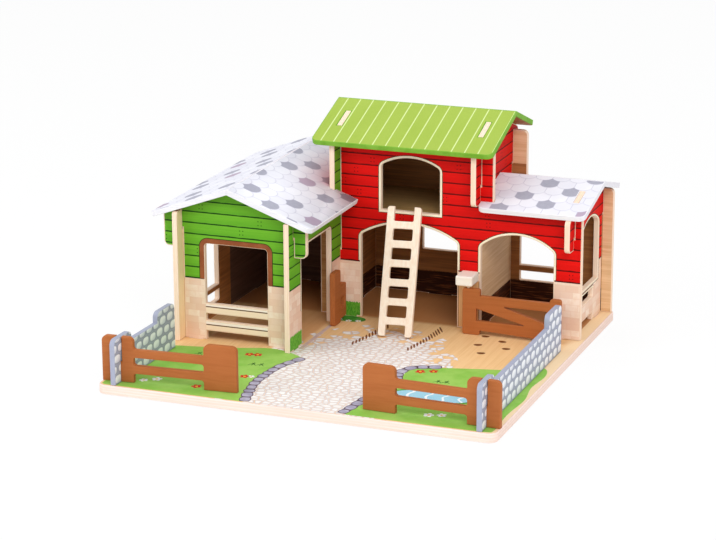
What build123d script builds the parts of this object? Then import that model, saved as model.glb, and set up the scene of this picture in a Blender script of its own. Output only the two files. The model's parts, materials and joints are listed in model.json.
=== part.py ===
from build123d import *
import math
import os

os.makedirs("parts", exist_ok=True)

# Toy barn of slotted boards. All sizes in millimetres, measured from the front left
# corner of the base board: X to the right, Y to the back, Z up from its underside.
# Every piece is moved at the end so that the origin is the middle of that underside.

# ---- stock and fits
BASE_SIDE = 450.0
BASE_THICK = 10.5
BASE_CORNER_R = 10.0
BOARD = 6.0
SEAT = 0.3                      # gap where one board sits on or in another
SLOT = BOARD + 2 * SEAT
FLOOR = BASE_THICK + SEAT       # underside of everything that stands on the base
SAND = 0.6                      # sanded round on the boards' edges
FOOT_DEPTH = 9.5                # how far a panel's foot goes into the base
BASE_EASE = 1.2                 # round on the base's top and bottom edges
LAP = 5.0                       # overlap of two outlines that are joined into one
BEYOND = 20.0                   # how far a cutter runs past what it cuts

# ---- rounded corners
PANEL_R = 6.0
EAVE_END_R = 4.0                # top corners of the stable's outer wall
WINDOW_R = 3.0
HATCH_R = 1.5
SLIT_R = 2.0

# ---- where the walls stand (near faces)
LEFT_WALL_X = 14.5
MIDDLE_WALL_X = 149.0
BARN_WALL_X = 319.0
RIGHT_WALL_X = 429.0
GABLE_Y = 182.6
RED_Y = 323.0
BACK_Y = 439.0
STABLE_NOSE_Y = 167.7           # front edge of the stable's side walls
TALL_NOSE_Y = 305.0             # front edge of the hooks in front of the red panel
TAIL_Y = 460.0                  # rear edge of all side walls

# ---- heights where boards cross
STABLE_CROSS_Z = 139.0
MIDDLE_CROSS_Z = 91.0
BARN_CROSS_Z = 180.4
LEAN_CROSS_Z = 129.1
STABLE_EAR_Z = 117.0
BARN_HOOK_Z = 158.9
LEAN_HOOK_Z = 115.7
MIDDLE_TAIL_Z = 70.0

# ---- stable roof: ridge along Y
STABLE_RIDGE_X = 81.4
STABLE_RIDGE_Z = 192.1
STABLE_EAVE_X = (-13.8, 182.6)
STABLE_SLOPE = 0.363
STABLE_ROOF_Y = (167.6, 463.8)
STABLE_STEP_Y = 309.0           # behind this the right slope stops at the middle wall

# ---- barn roof: ridge along X
BARN_RIDGE_Y = 385.3
BARN_RIDGE_Z = 255.0
TALL = BARN_RIDGE_Z + BEYOND      # top of a cut that runs off any board
BARN_EAVE_Y = (296.0, 456.0)
BARN_SLOPE_FRONT = 0.3535
BARN_SLOPE_REAR = 0.38
BARN_ROOF_X = (129.3, 346.3)

# ---- lean-to roof: ridge along X
LEAN_RIDGE_Y = 391.1
LEAN_RIDGE_Z = 180.2
LEAN_EAVE_Y = (306.9, 462.3)
LEAN_SLOPE_FRONT = 0.2494
LEAN_SLOPE_REAR = 0.264
LEAN_ROOF_X = (BARN_WALL_X + BOARD + 0.7, RIGHT_WALL_X + BOARD + 15.4)
ROOF_CORNER_R = 8.0
RIDGE_GAP = 0.3

# ---- wall tabs that stand in the roofs' slots
BARN_TAB_FRONT = (329.6, 359.2)
BARN_TAB_REAR = (410.0, 436.0)
TAB_ROOT = 14.0                 # how far a tab goes down into its wall
LEAN_TAB_FRONT = (338.3, 364.7)
LEAN_TAB_REAR = (410.0, 435.0)

# ---- ridge battens
BATTEN_HALF = 12.0
BATTEN_DEPTH = 5.0              # least depth at its long edges
BATTEN_END = 2.0                # short of the walls at each end

# ---- gable
GABLE_X = (-2.7, 170.4)
GABLE_DOOR_X = (46.8, 123.0)
GABLE_DOOR_TOP = 123.4
GABLE_DOOR_R = 4.0
GABLE_RAILS = ((21.4, 33.3), (41.7, 53.5))

# ---- stable side window
SIDE_WINDOW_Y = (238.0, 277.5)
SIDE_WINDOW_Z = (28.0, 112.0)
SIDE_RAIL_Z = (41.0, 47.0)

# ---- doorway in the middle wall
DOORWAY_Y = (204.0, 292.5)
DOORWAY_TOP = 123.3
DOORWAY_R = 4.0

# ---- red front
RED_X = (130.0, 444.4)
RED_TALL_X = 340.5
LOFT_WINDOW_X = (205.4, 276.3)
LOFT_SILL_Z = 142.0
LOFT_SPRING_DROP = 60.4         # the window's head follows the roof, below the barn's ridge
LOFT_CROWN_DROP = 50.0
LOFT_SPRING_Z = BARN_RIDGE_Z - LOFT_SPRING_DROP
LOFT_CROWN_Z = BARN_RIDGE_Z - LOFT_CROWN_DROP
BIG_ARCH_X = (180.3, 297.8)
BIG_ARCH_SPRING = 110.3
BIG_ARCH_CROWN = 127.6
SMALL_ARCH_X = (325.6, 411.9)
SMALL_ARCH_SPRING = 110.0
SMALL_ARCH_CROWN = 126.5

ARCH_SHOULDER_R = 6.0           # where an arch's head meets its straight sides

# ---- back panel
BACK_X = (-2.7, 447.8)
BACK_TALL_X = 343.0
BACK_TOP_GAP = 5.8               # the back panel stops this far below the barn roof
BACK_WINDOW_X = (214.8, 265.0)
BACK_WINDOW_Z = (65.5, 112.0)
BACK_HATCH_X = (336.0, 412.0)
BACK_HATCH_Z = (39.0, 122.0)
BACK_HATCH_RAIL = (50.5, 57.5)

# ---- right wall
EAST_WINDOW_Y = (356.0, 424.0)
EAST_WINDOW_Z = (57.0, 137.0)
EAST_SPRING_Z = 125.0
EAST_SLOT_Y = (356.0, 405.0)
EAST_SLOT_Z = (38.5, 50.5)
EAST_FOOT_TOP = 20.0

# ---- loft
LOFT_TOP = 140.0
LOFT_TAB = 24.0
LOFT_TAB_Y = (352.0, 412.0)

# ---- feet: middle and length of each, along the panel's own direction
FOOT = 30.0
FOOT_SHORT = 16.0
LEFT_FEET = ((212.0, FOOT), (400.0, FOOT))
MIDDLE_FEET = ((186.0, FOOT_SHORT), (385.0, FOOT))
BARN_FEET = ((347.0, FOOT), (422.0, FOOT))
RIGHT_FEET = ((344.0, FOOT_SHORT), (423.0, FOOT_SHORT))
GABLE_FEET = ((33.8, FOOT_SHORT), (135.8, FOOT_SHORT))
RED_FEET = ((168.0, FOOT_SHORT), (311.7, FOOT_SHORT), (420.5, FOOT_SHORT / 2))
BACK_FEET = ((84.0, FOOT), (237.0, FOOT), (380.0, FOOT))

# ---- gate in front of the small arch
GATE_Y = 302.7
GATE_X = (311.0, 427.0)
GATE_STILE = 20.7
GATE_END_STILE = 13.0
GATE_FOOT_Z = (16.5, 13.0)      # under the rails, at the hinge side and at the far end
GATE_RAIL_TOP = 57.2
GATE_STILE_TOP = 65.0
GATE_END_TOP = 62.0
GATE_R = 3.0
GATE_LOWER_Z = (27.3, 42.2)     # lower three-sided opening, and its far tip
GATE_LOWER_TIP = 388.0
GATE_UPPER_Z = (31.5, 47.3)     # upper three-sided opening, and its near tip
GATE_UPPER_TIP = 357.0
GATE_OPENING_R = 0.6
PIVOT_X = 317.3
PIVOT_Y = GATE_Y + BOARD / 2
PIN_R = 1.5
PIN_PLAY = 0.08
PIN_IN_GATE = 10.0
PIN_OUT = 6.0
PIN_SPARE = 1.5                 # room past the end of a pin in its hole
PIN_EASE = 0.3
BLOCK_X = (303.5, 323.5)
BLOCK_Y = 299.0
BLOCK_Z = (67.9, 79.5)
BLOCK_R = 2.0

# ---- short gate at the stable doorway
LEAF_X = 160.0
LEAF_Y = (275.7, 312.0)
LEAF_STILE = 19.6
LEAF_STILE_TOP = 74.0
LEAF_LOW_TOP = 55.0
LEAF_PIN_R = 1.5
LEAF_PIN_IN = 24.0
LEAF_PIVOT_Y = LEAF_Y[0] + LEAF_STILE / 2
LEAF_R = 2.5
LEAF_LOW_Z = FLOOR + 4.0        # foot of the low part behind the stile
LEAF_SLOT_Z = (27.0, 40.0)
LEAF_BORDER = 5.0               # wood left behind the slot

# ---- ladder
LADDER_FOOT = (244.3, 264.4)    # middle of the foot, X and Y
LADDER_W = 39.2
LADDER_STILE = 8.0
LADDER_R = 3.0
LADDER_LEN = 148.0
LADDER_YAW = 7.0
LADDER_TILT = 20.6
RUNGS = 6
RUNG = 8.4
FIRST_RUNG_Z = 13.3
RUNG_PITCH = 21.9

# ---- fences and stone walls
FENCE_Y = 24.5                  # front of each fence at its inner end
LEFT_FENCE_TURN = 3.5           # the fences stand a little askew, outer ends forward
RIGHT_FENCE_TURN = -3.0
LEFT_WALL_TURN = -1.5           # and the left stone wall a little the other way
POST_TOP = 61.5
FENCE_INNER_R = 3.0             # where a rail meets a post
LOW_RAIL = (21.0, 30.0)
TOP_RAIL = (39.0, 48.0)
POST_R = 6.0
LEFT_FENCE_X = (0.0, 154.0)
LEFT_POST = (36.0, 116.5)       # inner edges of the left fence's two posts
RIGHT_FENCE_LENGTH = 153.0
RIGHT_POST_REACH = (116.5, 36.5)  # inner edges of its posts, from the base's right side
RIGHT_FENCE_X = (BASE_SIDE - RIGHT_FENCE_LENGTH, BASE_SIDE)
RIGHT_POST = tuple(BASE_SIDE - reach for reach in RIGHT_POST_REACH)
STONE_NOSE_Y = 2.0
NOSE_BLOCK_Y = 42.0             # rear of the tall block that the fence is hooked on
NOSE_BLOCK_TOP = 61.5
LEFT_STONE_X = 16.6
RIGHT_STONE_REACH = 21.0
RIGHT_STONE_X = BASE_SIDE - RIGHT_STONE_REACH
LEFT_STONE_END = 145.0
RIGHT_STONE_END = 280.0
STONE_TOP = 51.0
STONE_R = 7.0
LEFT_BLOCK_Y = 103.0
RIGHT_BLOCK_Y = 233.0
LEFT_BLOCK_TOP = 63.0
RIGHT_BLOCK_TOP = 66.0
FENCE_CROSS_Z = 34.0
LAP_PLAY = 0.6                  # play each side in the halved joints, for the skew


# ---------------------------------------------------------------- helpers
def face(points):
    """Flat outline through the points."""
    return make_face(Polyline(*points, close=True))


def area(a_low, a_high, b_low, b_high):
    """Rectangle between two pairs of limits."""
    return face([(a_low, b_low), (a_high, b_low), (a_high, b_high), (a_low, b_high)])


def soften(outline, corners, radius):
    """Round the outline's corners that lie at the given points."""
    picked = []
    for a, b in corners:
        near = outline.vertices().sort_by(lambda v: (v.X - a) ** 2 + (v.Y - b) ** 2)[0]
        picked.append(near)
    return fillet(picked, radius)


def rounded(a_low, a_high, b_low, b_high, radius):
    """Rectangle with all four corners round."""
    outline = area(a_low, a_high, b_low, b_high)
    return fillet(outline.vertices(), radius)


def arch(a_low, a_high, bottom, spring, crown):
    """Opening with straight sides and a curved head."""
    middle = (a_low + a_high) / 2
    sides = Polyline((a_low, spring), (a_low, bottom), (a_high, bottom), (a_high, spring))
    head = ThreePointArc((a_high, spring), (middle, crown), (a_low, spring))
    outline = make_face(Curve() + [sides, head])
    return soften(outline, [(a_low, spring), (a_high, spring)], ARCH_SHOULDER_R)


def across(outline, near_x):
    """Board parallel to the side walls; the outline is drawn in Y and Z."""
    return extrude(Plane.YZ.offset(near_x) * outline, BOARD)


def facing(outline, near_y):
    """Board parallel to the front; the outline is drawn in X and Z."""
    return extrude(Plane.XZ.offset(-near_y - BOARD) * outline, BOARD)


def block(x_low, x_high, y_low, y_high, z_low, z_high):
    """Plain box between limits."""
    size = (x_high - x_low, y_high - y_low, z_high - z_low)
    middle = ((x_low + x_high) / 2, (y_low + y_high) / 2, (z_low + z_high) / 2)
    return Pos(*middle) * Box(*size)


def sanded(board, axis, radius=SAND):
    """Round the edges round both big faces of a board."""
    faces = board.faces().filter_by(axis).sort_by(axis)
    edges = faces[0].edges() + faces[-1].edges()
    return fillet(edges, radius)


def foot(middle, length):
    """Foot of a panel that goes down into the base."""
    return area(middle - length / 2, middle + length / 2, FLOOR - FOOT_DEPTH, FLOOR + LAP)


def slot_across(x, z_low, z_high):
    """Slot in a front-facing outline for the side wall whose near face is at x."""
    return area(x - SEAT, x - SEAT + SLOT, z_low, z_high)


def under(ridge, top, slope, at):
    """Height of a roof's underside at a distance from its ridge line."""
    drop = BOARD * (1 + slope ** 2) ** 0.5
    return top - slope * abs(ridge - at) - drop - SEAT


def stable_under(x):
    return under(STABLE_RIDGE_X, STABLE_RIDGE_Z, STABLE_SLOPE, x)


def barn_under(y):
    slope = BARN_SLOPE_FRONT if y < BARN_RIDGE_Y else BARN_SLOPE_REAR
    return under(BARN_RIDGE_Y, BARN_RIDGE_Z, slope, y)


def lean_under(y):
    slope = LEAN_SLOPE_FRONT if y < LEAN_RIDGE_Y else LEAN_SLOPE_REAR
    return under(LEAN_RIDGE_Y, LEAN_RIDGE_Z, slope, y)


def gable_top(a_low, a_high, ridge, under_at):
    """Points from right to left along the underside of a roof."""
    return [(a_high, under_at(a_high)), (ridge, under_at(ridge)), (a_low, under_at(a_low))]


def roof_tab(limits, ridge, top, slope):
    """Tab on a wall's top edge that fills a roof slot up to the roof's surface."""
    low, high = limits
    rise_low = top - slope * abs(ridge - low)
    rise_high = top - slope * abs(ridge - high)
    return face([(low, rise_low - TAB_ROOT), (high, rise_high - TAB_ROOT),
                 (high, rise_high), (low, rise_low)])


# ---------------------------------------------------------------- walls
def make_base():
    plate = fillet(area(0, BASE_SIDE, 0, BASE_SIDE).vertices(), BASE_CORNER_R)
    board = extrude(plate, BASE_THICK)
    board = fillet(board.faces().sort_by(Axis.Z)[-1].edges(), BASE_EASE)
    board = fillet(board.faces().sort_by(Axis.Z)[0].edges(), BASE_EASE)
    side_walls = ((LEFT_WALL_X, LEFT_FEET), (MIDDLE_WALL_X, MIDDLE_FEET),
                  (BARN_WALL_X, BARN_FEET), (RIGHT_WALL_X, RIGHT_FEET))
    for x, feet in side_walls:
        for middle, length in feet:
            half = length / 2 + SEAT
            board -= block(x - SEAT, x - SEAT + SLOT, middle - half, middle + half,
                           -BEYOND, BASE_THICK + BEYOND)
    front_walls = ((GABLE_Y, GABLE_FEET), (RED_Y, RED_FEET), (BACK_Y, BACK_FEET))
    for y, feet in front_walls:
        for middle, length in feet:
            half = length / 2 + SEAT
            board -= block(middle - half, middle + half, y - SEAT, y - SEAT + SLOT,
                           -BEYOND, BASE_THICK + BEYOND)
    hole = Cylinder(PIN_R + PIN_PLAY, PIN_OUT + PIN_SPARE, align=(Align.CENTER, Align.CENTER, Align.MAX))
    board -= Pos(PIVOT_X, PIVOT_Y, BASE_THICK) * hole
    board -= Pos(LEAF_X + BOARD / 2, LEAF_PIVOT_Y, BASE_THICK) * hole
    return board


def make_stable_front():
    left = LEFT_WALL_X + BOARD + SEAT
    right = MIDDLE_WALL_X - SEAT
    body = face([(left, FLOOR), (right, FLOOR), (right, STABLE_EAR_Z), (GABLE_X[1], STABLE_EAR_Z)]
                + gable_top(GABLE_X[0], GABLE_X[1], STABLE_RIDGE_X, stable_under)
                + [(GABLE_X[0], STABLE_EAR_Z), (left, STABLE_EAR_Z)])
    body = soften(body, [(GABLE_X[0], STABLE_EAR_Z), (GABLE_X[1], STABLE_EAR_Z)], PANEL_R)
    for middle, length in GABLE_FEET:
        body += foot(middle, length)
    door = area(GABLE_DOOR_X[0], GABLE_DOOR_X[1], 0, GABLE_DOOR_TOP)
    door = soften(door, [(x, GABLE_DOOR_TOP) for x in GABLE_DOOR_X], GABLE_DOOR_R)
    for low, high in GABLE_RAILS:
        door -= area(GABLE_DOOR_X[0] - LAP, GABLE_DOOR_X[1] + LAP, low, high)
    body -= door
    for x in (LEFT_WALL_X, MIDDLE_WALL_X):
        body -= slot_across(x, 0, STABLE_CROSS_Z + SEAT)
    return sanded(facing(body, GABLE_Y), Axis.Y)


def make_stable_side():
    top = stable_under(LEFT_WALL_X)
    body = area(STABLE_NOSE_Y, TAIL_Y, FLOOR, top)
    body = soften(body, [(STABLE_NOSE_Y, top), (TAIL_Y, top)], EAVE_END_R)
    for middle, length in LEFT_FEET:
        body += foot(middle, length)
    window = rounded(*SIDE_WINDOW_Y, *SIDE_WINDOW_Z, WINDOW_R)
    window -= area(SIDE_WINDOW_Y[0] - LAP, SIDE_WINDOW_Y[1] + LAP, *SIDE_RAIL_Z)
    body -= window
    for y in (GABLE_Y, BACK_Y):
        body -= slot_across(y, STABLE_CROSS_Z - SEAT, TALL)
    return sanded(across(body, LEFT_WALL_X), Axis.X)


def make_middle_wall():
    low_top = stable_under(MIDDLE_WALL_X + BOARD)
    body = area(STABLE_NOSE_Y, TALL_NOSE_Y + LAP, FLOOR, low_top)
    tall = face([(TALL_NOSE_Y, FLOOR), (TAIL_Y, FLOOR)]
                + gable_top(TALL_NOSE_Y, TAIL_Y, BARN_RIDGE_Y, barn_under))
    tall = soften(tall, [(TALL_NOSE_Y, barn_under(TALL_NOSE_Y))], PANEL_R)
    tall = soften(tall, [(TAIL_Y, barn_under(TAIL_Y))], PANEL_R)
    body += tall
    body += roof_tab(BARN_TAB_FRONT, BARN_RIDGE_Y, BARN_RIDGE_Z, BARN_SLOPE_FRONT)
    body += roof_tab(BARN_TAB_REAR, BARN_RIDGE_Y, BARN_RIDGE_Z, BARN_SLOPE_REAR)
    for middle, length in MIDDLE_FEET:
        body += foot(middle, length)
    door = area(*DOORWAY_Y, 0, DOORWAY_TOP)
    body -= soften(door, [(y, DOORWAY_TOP) for y in DOORWAY_Y], DOORWAY_R)
    body -= slot_across(GABLE_Y, STABLE_CROSS_Z - SEAT, TALL)
    for y in (RED_Y, BACK_Y):
        body -= slot_across(y, 0, MIDDLE_CROSS_Z + SEAT)
    body -= area(BACK_Y + BOARD, TAIL_Y + BEYOND, 0, MIDDLE_TAIL_Z)
    for y in LOFT_TAB_Y:
        half = LOFT_TAB / 2 + SEAT
        body -= area(y - half, y + half, LOFT_TOP - BOARD - SEAT, LOFT_TOP + SEAT)
    return sanded(across(body, MIDDLE_WALL_X), Axis.X)


def make_barn_side():
    inner = RED_Y + BOARD + SEAT
    outer = BACK_Y - SEAT
    body = face([(inner, FLOOR), (outer, FLOOR), (outer, BARN_HOOK_Z), (TAIL_Y, BARN_HOOK_Z)]
                + gable_top(TALL_NOSE_Y, TAIL_Y, BARN_RIDGE_Y, barn_under)
                + [(TALL_NOSE_Y, BARN_HOOK_Z), (inner, BARN_HOOK_Z)])
    body = soften(body, [(y, BARN_HOOK_Z) for y in (TALL_NOSE_Y, TAIL_Y)], PANEL_R)
    body = soften(body, [(y, barn_under(y)) for y in (TALL_NOSE_Y, TAIL_Y)], PANEL_R)
    body += roof_tab(BARN_TAB_FRONT, BARN_RIDGE_Y, BARN_RIDGE_Z, BARN_SLOPE_FRONT)
    body += roof_tab(BARN_TAB_REAR, BARN_RIDGE_Y, BARN_RIDGE_Z, BARN_SLOPE_REAR)
    for middle, length in BARN_FEET:
        body += foot(middle, length)
    for y in (RED_Y, BACK_Y):
        body -= slot_across(y, BARN_HOOK_Z - BEYOND, BARN_CROSS_Z + SEAT)
    for y in LOFT_TAB_Y:
        half = LOFT_TAB / 2 + SEAT
        body -= area(y - half, y + half, LOFT_TOP - BOARD - SEAT, LOFT_TOP + SEAT)
    return sanded(across(body, BARN_WALL_X), Axis.X)


def make_right_wall():
    inner = RED_Y + BOARD + SEAT
    outer = BACK_Y - SEAT
    body = face([(inner, FLOOR), (outer, FLOOR), (outer, LEAN_HOOK_Z), (TAIL_Y, LEAN_HOOK_Z)]
                + gable_top(TALL_NOSE_Y, TAIL_Y, LEAN_RIDGE_Y, lean_under)
                + [(TALL_NOSE_Y, LEAN_HOOK_Z), (inner, LEAN_HOOK_Z)])
    body = soften(body, [(y, LEAN_HOOK_Z) for y in (TALL_NOSE_Y, TAIL_Y)], PANEL_R)
    body = soften(body, [(y, lean_under(y)) for y in (TALL_NOSE_Y, TAIL_Y)], PANEL_R)
    body += roof_tab(LEAN_TAB_FRONT, LEAN_RIDGE_Y, LEAN_RIDGE_Z, LEAN_SLOPE_FRONT)
    body += roof_tab(LEAN_TAB_REAR, LEAN_RIDGE_Y, LEAN_RIDGE_Z, LEAN_SLOPE_REAR)
    for middle, length in RIGHT_FEET:
        body += foot(middle, length)
    body -= arch(*EAST_WINDOW_Y, EAST_WINDOW_Z[0], EAST_SPRING_Z, EAST_WINDOW_Z[1])
    body -= rounded(*EAST_SLOT_Y, *EAST_SLOT_Z, SLIT_R)
    notch = area(*EAST_SLOT_Y, 0, EAST_FOOT_TOP)
    body -= soften(notch, [(y, EAST_FOOT_TOP) for y in EAST_SLOT_Y], SLIT_R)
    for y in (RED_Y, BACK_Y):
        body -= slot_across(y, LEAN_HOOK_Z - BEYOND, LEAN_CROSS_Z + SEAT)
    return sanded(across(body, RIGHT_WALL_X), Axis.X)


def make_red_front():
    clear = MIDDLE_WALL_X + BOARD + SEAT
    ear_top = stable_under(MIDDLE_WALL_X)
    low_top = lean_under(RED_Y)
    tall_top = barn_under(RED_Y)
    body = face([(RED_X[0], FLOOR), (RED_X[1], FLOOR), (RED_X[1], low_top),
                 (RED_TALL_X, low_top), (RED_TALL_X, tall_top), (clear, tall_top),
                 (clear, ear_top), (RED_X[0], ear_top)])
    body = soften(body, [(RED_X[1], low_top), (RED_TALL_X, tall_top)], PANEL_R)
    for middle, length in RED_FEET:
        body += foot(middle, length)
    window = arch(*LOFT_WINDOW_X, LOFT_SILL_Z, LOFT_SPRING_Z, LOFT_CROWN_Z)
    body -= window
    body -= arch(*BIG_ARCH_X, 0, BIG_ARCH_SPRING, BIG_ARCH_CROWN)
    body -= arch(*SMALL_ARCH_X, 0, SMALL_ARCH_SPRING, SMALL_ARCH_CROWN)
    body -= slot_across(MIDDLE_WALL_X, MIDDLE_CROSS_Z - SEAT, TALL)
    body -= slot_across(BARN_WALL_X, BARN_CROSS_Z - SEAT, TALL)
    body -= slot_across(RIGHT_WALL_X, LEAN_CROSS_Z - SEAT, TALL)
    return sanded(facing(body, RED_Y), Axis.Y)


def make_back():
    left = LEFT_WALL_X + BOARD + SEAT
    before = MIDDLE_WALL_X - SEAT
    clear = MIDDLE_WALL_X + BOARD + SEAT
    low_top = lean_under(BACK_Y + BOARD)
    tall_top = barn_under(BACK_Y + BOARD) - BACK_TOP_GAP
    body = face([(left, FLOOR), (BACK_X[1], FLOOR), (BACK_X[1], low_top),
                 (BACK_TALL_X, low_top), (BACK_TALL_X, tall_top), (clear, tall_top),
                 (clear, MIDDLE_CROSS_Z - SEAT), (before, MIDDLE_CROSS_Z - SEAT),
                 (before, stable_under(before)), (STABLE_RIDGE_X, stable_under(STABLE_RIDGE_X)),
                 (BACK_X[0], stable_under(BACK_X[0])), (BACK_X[0], STABLE_EAR_Z),
                 (left, STABLE_EAR_Z)])
    body = soften(body, [(BACK_X[1], low_top), (BACK_TALL_X, tall_top)], PANEL_R)
    body = soften(body, [(BACK_X[0], STABLE_EAR_Z)], PANEL_R)
    for middle, length in BACK_FEET:
        body += foot(middle, length)
    body -= rounded(*BACK_WINDOW_X, *BACK_WINDOW_Z, HATCH_R)
    hatch = rounded(*BACK_HATCH_X, *BACK_HATCH_Z, HATCH_R)
    hatch -= area(BACK_HATCH_X[0] - LAP, BACK_HATCH_X[1] + LAP, *BACK_HATCH_RAIL)
    body -= hatch
    body -= slot_across(LEFT_WALL_X, 0, STABLE_CROSS_Z + SEAT)
    body -= slot_across(BARN_WALL_X, BARN_CROSS_Z - SEAT, TALL)
    body -= slot_across(RIGHT_WALL_X, LEAN_CROSS_Z - SEAT, TALL)
    return sanded(facing(body, BACK_Y), Axis.Y)


def make_loft():
    left = MIDDLE_WALL_X + BOARD + SEAT
    right = BARN_WALL_X - SEAT
    plan = area(left, right, RED_Y + BOARD + SEAT, BACK_Y - SEAT)
    for y in LOFT_TAB_Y:
        plan += area(MIDDLE_WALL_X + SEAT, BARN_WALL_X + BOARD - SEAT,
                     y - LOFT_TAB / 2, y + LOFT_TAB / 2)
    board = extrude(Plane.XY.offset(LOFT_TOP - BOARD) * plan, BOARD)
    return sanded(board, Axis.Z)


# ---------------------------------------------------------------- roofs
def slab(ridge, top, eave, slope, plane_of, length):
    """Roof board as a sloping strip: square-cut eave, upright cut at the ridge."""
    side = 1 if eave > ridge else -1
    run = (1 + slope ** 2) ** 0.5
    eave_top = top - slope * abs(eave - ridge)
    back = side * slope * BOARD / run
    points = [(ridge + side * RIDGE_GAP / 2, top - slope * RIDGE_GAP / 2),
              (eave, eave_top),
              (eave - back, eave_top - BOARD / run),
              (ridge + side * RIDGE_GAP / 2, top - slope * RIDGE_GAP / 2 - BOARD * run)]
    board = extrude(plane_of * face(points), length)
    short = board.edges().filter_by(lambda e: abs(e.length - BOARD) < 0.02)
    return fillet(short, ROOF_CORNER_R)


def roof_slot(x, limits):
    """Upright cutter for the slot round a wall tab."""
    return block(x - SEAT, x - SEAT + SLOT, limits[0] - SEAT, limits[1] + SEAT, 0, TALL)


def soft_top(board, radius=SAND):
    """Round the outline of the board's two biggest faces."""
    faces = board.faces().sort_by(SortBy.AREA)
    return fillet(faces[-1].edges() + faces[-2].edges(), radius)


def make_barn_roof(eave, slope, limits):
    plane = Plane.YZ.offset(BARN_ROOF_X[0])
    width = BARN_ROOF_X[1] - BARN_ROOF_X[0]
    board = slab(BARN_RIDGE_Y, BARN_RIDGE_Z, eave, slope, plane, width)
    for x in (MIDDLE_WALL_X, BARN_WALL_X):
        board -= roof_slot(x, limits)
    return soft_top(board)


def make_lean_roof(eave, slope, limits, ear_y, ear_x):
    plane = Plane.YZ.offset(LEAN_ROOF_X[0])
    width = LEAN_ROOF_X[1] - LEAN_ROOF_X[0]
    board = slab(LEAN_RIDGE_Y, LEAN_RIDGE_Z, eave, slope, plane, width)
    board -= roof_slot(RIGHT_WALL_X, limits)
    clear = 2 * SEAT
    board -= block(LEAN_ROOF_X[0] - BEYOND, ear_x + clear, ear_y - clear, ear_y + BOARD + clear, 0, TALL)
    return soft_top(board)


def make_stable_roof(eave):
    front, rear = STABLE_ROOF_Y
    plane = Plane.XZ.offset(-rear)
    board = slab(STABLE_RIDGE_X, STABLE_RIDGE_Z, eave, STABLE_SLOPE, plane, rear - front)
    if eave > STABLE_RIDGE_X:
        wall_clear = 2 * SEAT
        board -= block(MIDDLE_WALL_X - wall_clear, eave + BEYOND, STABLE_STEP_Y, rear + BEYOND, 0, TALL)
        board -= block(MIDDLE_WALL_X - wall_clear, MIDDLE_WALL_X + BOARD + wall_clear,
                       TALL_NOSE_Y - wall_clear, rear + BEYOND, 0, TALL)
    return soft_top(board)


def batten(ridge, top, slope_low, slope_high, plane_of, length):
    """Three-sided strip glued up under a ridge."""
    run_low = (1 + slope_low ** 2) ** 0.5
    run_high = (1 + slope_high ** 2) ** 0.5
    low = ridge - BATTEN_HALF
    high = ridge + BATTEN_HALF
    peak = top - BOARD * max(run_low, run_high)
    low_z = top - BOARD * run_low - slope_low * BATTEN_HALF
    high_z = top - BOARD * run_high - slope_high * BATTEN_HALF
    foot_z = min(low_z, high_z) - BATTEN_DEPTH
    outline = face([(low, foot_z), (high, foot_z), (high, high_z), (ridge, peak), (low, low_z)])
    return extrude(plane_of * outline, length)


# ---------------------------------------------------------------- gates
def make_gate():
    left, right = GATE_X
    stile = left + GATE_STILE
    end = right - GATE_END_STILE
    body = area(left, stile, FLOOR, GATE_STILE_TOP)
    body = fillet(body.vertices(), GATE_R)
    near_z, far_z = GATE_FOOT_Z
    body += fillet(area(end, right, far_z, GATE_END_TOP).vertices(), GATE_R)
    body += face([(stile - LAP, near_z), (end + LAP, far_z),
                  (end + LAP, GATE_RAIL_TOP), (stile - LAP, GATE_RAIL_TOP)])
    low, high = GATE_LOWER_Z
    near = stile - LAP + SAND
    body -= fillet(face([(near, low), (GATE_LOWER_TIP, low), (near, high)]).vertices(), GATE_OPENING_R)
    low, high = GATE_UPPER_Z
    far = end - GATE_R
    body -= fillet(face([(GATE_UPPER_TIP, high), (far, high), (far, low)]).vertices(), GATE_OPENING_R)
    board = sanded(facing(body, GATE_Y), Axis.Y)
    bore = Cylinder(PIN_R, PIN_IN_GATE, align=(Align.CENTER, Align.CENTER, Align.MAX))
    board -= Pos(PIVOT_X, PIVOT_Y, GATE_STILE_TOP) * bore
    board -= Pos(PIVOT_X, PIVOT_Y, FLOOR + PIN_IN_GATE) * bore
    return board


def pin(x, y, z_low, z_high, radius):
    """Upright dowel with eased ends."""
    rod = Cylinder(radius, z_high - z_low, align=(Align.CENTER, Align.CENTER, Align.MIN))
    rod = chamfer(rod.edges().filter_by(GeomType.CIRCLE), PIN_EASE)
    return Pos(x, y, z_low) * rod


def make_gate_pins():
    upper = pin(PIVOT_X, PIVOT_Y, GATE_STILE_TOP - PIN_IN_GATE, BLOCK_Z[0] + PIN_OUT, PIN_R)
    lower = pin(PIVOT_X, PIVOT_Y, BASE_THICK - PIN_OUT, FLOOR + PIN_IN_GATE, PIN_R)
    return Compound([upper, lower])


def make_hinge_block():
    cube = block(*BLOCK_X, BLOCK_Y, RED_Y, *BLOCK_Z)
    keep = cube.faces().sort_by(Axis.Y)[-1].edges()
    edges = [e for e in cube.edges() if all((e.center() - k.center()).length > 0.01 for k in keep)]
    cube = fillet(edges, BLOCK_R)
    hole = Cylinder(PIN_R + PIN_PLAY, PIN_OUT + PIN_SPARE, align=(Align.CENTER, Align.CENTER, Align.MIN))
    return cube - Pos(PIVOT_X, PIVOT_Y, BLOCK_Z[0]) * hole


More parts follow.
